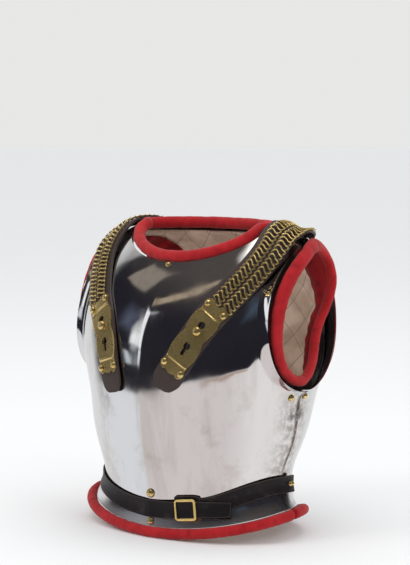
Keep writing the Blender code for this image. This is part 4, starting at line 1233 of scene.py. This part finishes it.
# The waist belt, in two straps.
belt = {
    "level": 0.0905 * body["top"],
    "wide": 0.0250,
    "thick": 0.0020,
    "rivet": 0.0036,
    "rivetRise": 0.0030,
    "endNarrow": 0.10,
    "endLong": 0.003,
    # in rivet radii from the end
    "rivets": (1.7, 3.6),
    # turn, height from the level, outer face, width, as shares
    "right": (
        (-101, 0.16, 1.7, 1.0),
        (-90, 0.14, 1.7, 1.0),
        (-75, 0.06, 1.7, 1.0),
        (-60, 0.01, 1.6, 1.0),
        (-45, 0.00, 1.6, 1.0),
        (-30, 0.01, 1.6, 1.0),
        (-15, -0.01, 1.6, 1.0),
        (0, -0.02, 1.6, 1.0),
        (7, -0.02, 2.0, 1.0),
        (13, -0.01, 3.1, 1.0),
        (17, 0.00, 3.6, 1.0),
        (22, 0.00, 3.7, 1.0),
        (27, -0.02, 3.6, 1.0),
        (33, -0.10, 3.3, 0.97),
        (40, -0.21, 3.2, 0.95),
        (47, -0.32, 3.2, 0.92),
    ),
    "left": (
        (15.5, 0.16, 1.6, 1.26),
        (22, 0.16, 1.6, 1.26),
        (27.5, 0.12, 1.6, 1.20),
        (30, 0.06, 1.6, 1.0),
        (40, 0.14, 1.6, 1.0),
        (50, 0.28, 1.6, 1.0),
        (62, 0.40, 1.7, 1.0),
        (76, 0.40, 1.8, 1.0),
        (90, 0.26, 1.8, 1.0),
        (101, 0.16, 1.8, 1.0),
    ),
}
buckle = {
    "turn": 22.0,
    "wide": 0.0310,
    "tall": 0.0290,
    "bar": 0.0026,
    "corner": 0.0032,
    "flat": 1.35,
    "deep": 0.84,
    "slim": 0.28,
}


def beltStrap(word, beneath, count):
    stops = [
        (radians(a), belt["level"] + up * belt["wide"], out * belt["thick"], wide)
        for a, up, out, wide in belt[word]
    ]
    route = Route(stops, flared=False)
    s = np.linspace(0, route.length, count)
    out, wide = route.at(s)[2:]
    half = belt["wide"] / 2 * wide
    ends = np.minimum(s - s[0], s[-1] - s)
    half = half * (1 - belt["endNarrow"] * np.clip(1 - ends / belt["endLong"], 0, 1) ** 2)
    at = np.linspace(-1, 1, 13)[None]
    high = route.over(s[:, None], half[:, None] * at, beneath)
    out = np.maximum(out[:, None] + 0 * at, soften(high, 3) + belt["thick"] + 0.0003)
    tree = band(
        "belt_" + word, route, s, half, out, belt["thick"], leather, "dark_leather", ["belt_strap_" + word],
        (0.0006, 2), 13, ends=1.0,
    )[1]
    for radii, mark in zip(belt["rivets"], "ab"):
        spot = radii * belt["rivet"]
        spot = spot if word == "right" else route.length - spot
        spot = restOn(route, spot, 0.0, [tree], 0.003)
        dome = domeProfile(belt["rivet"], belt["rivetRise"])
        ending = "%s_%s" % (word, mark)
        turned("beltRivet_" + ending, [spot], dome, ["belt_rivet_" + ending])
    return tree, route


leftTree = beltStrap("left", [breastTree, backTree], 150)[0]
rightTree, rightRoute = beltStrap("right", [breastTree, backTree, leftTree], 240)


# The buckle: a rounded bar bent into a frame.
def buckleFrame():
    route = rightRoute
    spot = float(np.interp(radians(buckle["turn"]), route.stops[:, 0], route.lengths))
    centre, normal = restOn(route, spot, 0.0, [rightTree], 0.0)
    ends, _ = route.lay(np.array([spot - 0.01, spot + 0.01]), np.zeros(2), np.zeros(2))
    along = ends[1] - ends[0]
    along = unit(along - normal * np.dot(along, normal))
    rise = np.cross(normal, along)
    rise = rise if rise[2] > 0 else -rise
    halfWide, halfTall = (buckle["wide"] - buckle["bar"]) / 2, (buckle["tall"] - buckle["bar"]) / 2
    inner = np.array([halfWide, halfTall]) - buckle["corner"]
    arcs = []
    for quarter, signs in enumerate(((1, 1), (-1, 1), (-1, -1), (1, -1))):
        angle = np.linspace(quarter, quarter + 1, 9) * pi / 2
        arcs.append(inner * signs + buckle["corner"] * np.stack([np.cos(angle), np.sin(angle)], axis=-1))
    shares = np.linspace(0, 1, 10)[1:-1, None]
    straights = [first[-1] + (last[0] - first[-1]) * shares for first, last in zip(arcs, arcs[1:] + arcs[:1])]
    line = np.concatenate([part for pair in zip(arcs, straights) for part in pair])
    world = centre + line[:, :1] * along + line[:, 1:] * rise
    high = max(heightOf(point + normal * probe, normal, [rightTree, leftTree, breastTree]) for point in world)
    world = world + normal * (high + buckle["bar"] * 0.42 + 0.0002)
    slim = 1 - buckle["slim"] * smooth((-line[:, 0] / halfWide - 0.5) / 0.4)
    ahead = unit(np.roll(world, -1, 0) - np.roll(world, 1, 0))
    side = unit(np.cross(ahead, normal))
    angle = wheel(12)[None]
    radius = (slim * buckle["bar"] / 2)[:, None]
    rings = hoops(world, side * buckle["flat"], normal * buckle["deep"], radius, angle)
    shade = np.clip(-np.sin(angle), 0, 1) + 0 * slim[:, None]
    tube("buckle", rings, True, brass, "brass", ["buckle_frame"], shadeLay(shade * 0.5, 1.0))


buckleFrame()
print("belt made")


# Studs on the steel.
def studs():
    neck = body["neckFront"] - 0.0035
    under = arm["z"] - arm["half"] - 0.0102
    table = (
        ("neck_stud", 0.0, neck, 0.0040, 0.0032),
        ("waist_stud", 0.7, belt["level"] + 0.84 * belt["wide"], 0.0064, 0.0050),
        ("flange_stud", 0.4, steelHem + 0.0067, 0.0050, 0.0036),
        ("side_stud_front_left", 80.5, under, 0.0046, 0.0040),
        ("side_stud_front_right", -80.5, under, 0.0046, 0.0040),
        ("side_stud_back_left", 93.5, under - 0.0018, 0.0046, 0.0040),
        ("side_stud_back_right", -93.5, under - 0.0018, 0.0046, 0.0040),
    )
    for node, turn, level, radius, rise in table:
        normal = outward(radians(turn), level)
        high = heightOf(skin(radians(turn), level, probe), normal, [breastTree, backTree])
        at = skin(radians(turn), level, high + 0.0002)
        words = node.split("_")
        name = words[0] + "".join(word.capitalize() for word in words[1:])
        turned(name, [(at, normal)], domeProfile(radius, rise, 0.0006), [node])


studs()
print("studs made")

# The floor, the light and the camera.
stage = {"pale": (0.80, 0.80, 0.795), "near": 0.26, "far": 30.0, "sides": 96}
# The photograph's view: degrees, metres and pixels.
view = {
    "azimuth": 38.0,
    "tilt": 5.2,
    "distance": 2.6,
    "height": 0.5816,
    "ahead": -0.018,
    "focal": 1843.97,
    "tall": 565,
    "aside": 8.8,
    "sensor": 36.0,
}
azimuth = radians(view["azimuth"])
floorPaint, place, lay, join = paint("floorPaint", Roughness=0.9, Specular_IOR_Level=0.1)
floorPaint.node_tree.nodes["Principled BSDF"].inputs["Base Color"].default_value = (*stage["pale"], 1.0)
around = wheel(stage["sides"])
circle = np.stack([np.cos(around), np.sin(around), 0 * around], axis=-1)
low = shift - np.array([0, 0, 0.0004])
inner, rim = circle * stage["near"] + low, circle * stage["far"] + low
ground = addMesh("ground", inner, [list(range(stage["sides"]))], floorPaint, "", [])
after = [(k + 1) % stage["sides"] for k in range(stage["sides"])]
sides = [[k, k + stage["sides"], n + stage["sides"], n] for k, n in enumerate(after)]
distance = addMesh("groundFar", np.concatenate([inner, rim]), sides, floorPaint, "", [])
ground.visible_glossy = distance.visible_glossy = False

world = bpy.data.worlds.new("studio")
bpy.context.scene.world = world
world.use_nodes = True
tree = world.node_tree
tree.nodes.clear()
start = Flow(tree)
way = start.node("ShaderNodeTexCoord", {}, {}, "Generated")
seen = start.node("ShaderNodeLightPath", {}, {}, "Is Camera Ray")
gloss = start.node("ShaderNodeLightPath", {}, {}, "Is Glossy Ray")
turn = way.part(0).math("ARCTAN2", way.part(0), -way.part(1)) * (180 / pi)
rise = way.part(2).math("ARCSINE", way.part(2)) * (180 / pi)
aim = sin(azimuth), -cos(azimuth), 0.0
behind = way.node("ShaderNodeVectorMath", {"operation": "DOT_PRODUCT"}, {0: way, 1: aim}, 1)
# What the steel mirrors: a dark room above, the pale table below, a pale wall behind.
room = rise.step(30.0, 62.0).colour((0.017, 0.016, 0.022), (0.078, 0.066, 0.062))
room = rise.step(68.0, 76.0).colour(room, (2.6, 2.5, 2.35))
table = turn.step(-62.0, -38.0).colour((0.80, 0.81, 0.83), (0.73, 0.675, 0.66))
table = turn.step(25.0, 75.0).colour(table, (0.88, 0.85, 0.83))
# turn, rise, half width, half height, tilt in degrees, softness, colour
windows = (
    (-57.0, 23.0, 1.5, 3.0, 0.0, 7.0, (0.13, 0.15, 0.22)),
    (-46.5, 22.0, 6.0, 12.0, 0.0, 1.3, (0.98, 0.99, 1.00)),
    (-45.0, 3.5, 6.5, 6.0, 0.0, 1.5, (0.75, 0.77, 0.82)),
    (-55.0, 0.5, 1.0, 3.5, 0.0, 0.8, (0.75, 0.80, 0.85)),
    (-72.0, 43.0, 8.0, 6.5, 12.0, 1.0, (0.27, 0.235, 0.195)),
    (-98.0, 38.0, 5.0, 8.0, 0.0, 3.0, (0.40, 0.39, 0.38)),
    (-37.0, 47.0, 13.0, 2.4, 38.0, 0.8, (0.42, 0.335, 0.24)),
    (38.0, 32.0, 1.0, 1.0, 0.0, 12.0, (0.10, 0.145, 0.21)),
)
waver = way.noise(9.0, 2.0, 0.5) * 1.6
edge = 13.4 + turn.step(-32.0, 36.0) * 4.4 - turn.step(50.0, 60.0) * 5.5
level = rise + waver + edge
low = level.step(-0.5, 0.5)
strip = level.step(-2.4, -1.8) * (1.0 - level.step(-0.9, -0.5))
strip = strip * turn.step(4.0, 14.0) * (1.0 - turn.step(48.0, 54.0))
table = strip.colour(table, (0.42, 0.30, 0.23))
mirrored = low.colour(table, room)
for side, height, wide, tall, tilt, soft, tone in windows:
    across, upward = turn - side, rise - height
    first = across * cos(radians(tilt)) + upward * sin(radians(tilt))
    second = upward * cos(radians(tilt)) - across * sin(radians(tilt))
    inside = 1.0 - (first.size() - wide).most(second.size() - tall).step(-soft, soft)
    mirrored = inside.colour(mirrored, tone)
mirrored = (1.0 - behind.step(-0.72, -0.45)).colour(mirrored, (0.80, 0.80, 0.80))
fill, mirror, wall = (
    start.node("ShaderNodeBackground", {}, {"Color": colour, "Strength": strength})
    for colour, strength in (((0.97, 0.98, 1.0, 1.0), 1.03), (mirrored, 1.0), ((*stage["pale"], 1.0), 1.0))
)
mixed = start.node("ShaderNodeMixShader", {}, {0: gloss, 1: fill, 2: mirror})
mixed = start.node("ShaderNodeMixShader", {}, {0: seen, 1: mixed, 2: wall})
start.node("ShaderNodeOutputWorld", {}, {"Surface": mixed})


def lamp(name, place, aim, size, power):
    light = bpy.data.lights.new(name, "AREA")
    light.shape = "RECTANGLE"
    light.size = light.size_y = size
    light.energy = power
    made = bpy.data.objects.new(name, light)
    made.location = place
    made.rotation_euler = (Vector(aim) - Vector(place)).to_track_quat("-Z", "Y").to_euler()
    made.visible_glossy = False
    bpy.context.scene.collection.objects.link(made)


lamp("keyLight", (-1.6, -2.4, 2.4), (0, 0, 0.2), 1.2, 20.0)
lamp("topLight", (0.4, 0.1, 3.2), (0, 0, 0.2), 2.4, 20.0)
lamp("sideLight", (2.6, -0.6, 1.9), (0, 0, 0.25), 1.0, 9.0)

camera = bpy.data.cameras.new("photoCamera")
camera.sensor_fit = "VERTICAL"
camera.sensor_height = view["sensor"]
camera.lens = view["focal"] / view["tall"] * view["sensor"]
camera.shift_x = view["aside"] / view["tall"]
camera.shift_y = 0.0
camera.clip_end = 100.0
eye = bpy.data.objects.new("photoCamera", camera)
away = view["distance"]
eye.location = (away * sin(azimuth), view["ahead"] - away * cos(azimuth), view["height"])
eye.rotation_euler = (pi / 2 - radians(view["tilt"]), 0, azimuth)
bpy.context.scene.collection.objects.link(eye)
bpy.context.scene.camera = eye
bpy.context.scene.view_settings.view_transform = "Standard"
print("stage set")
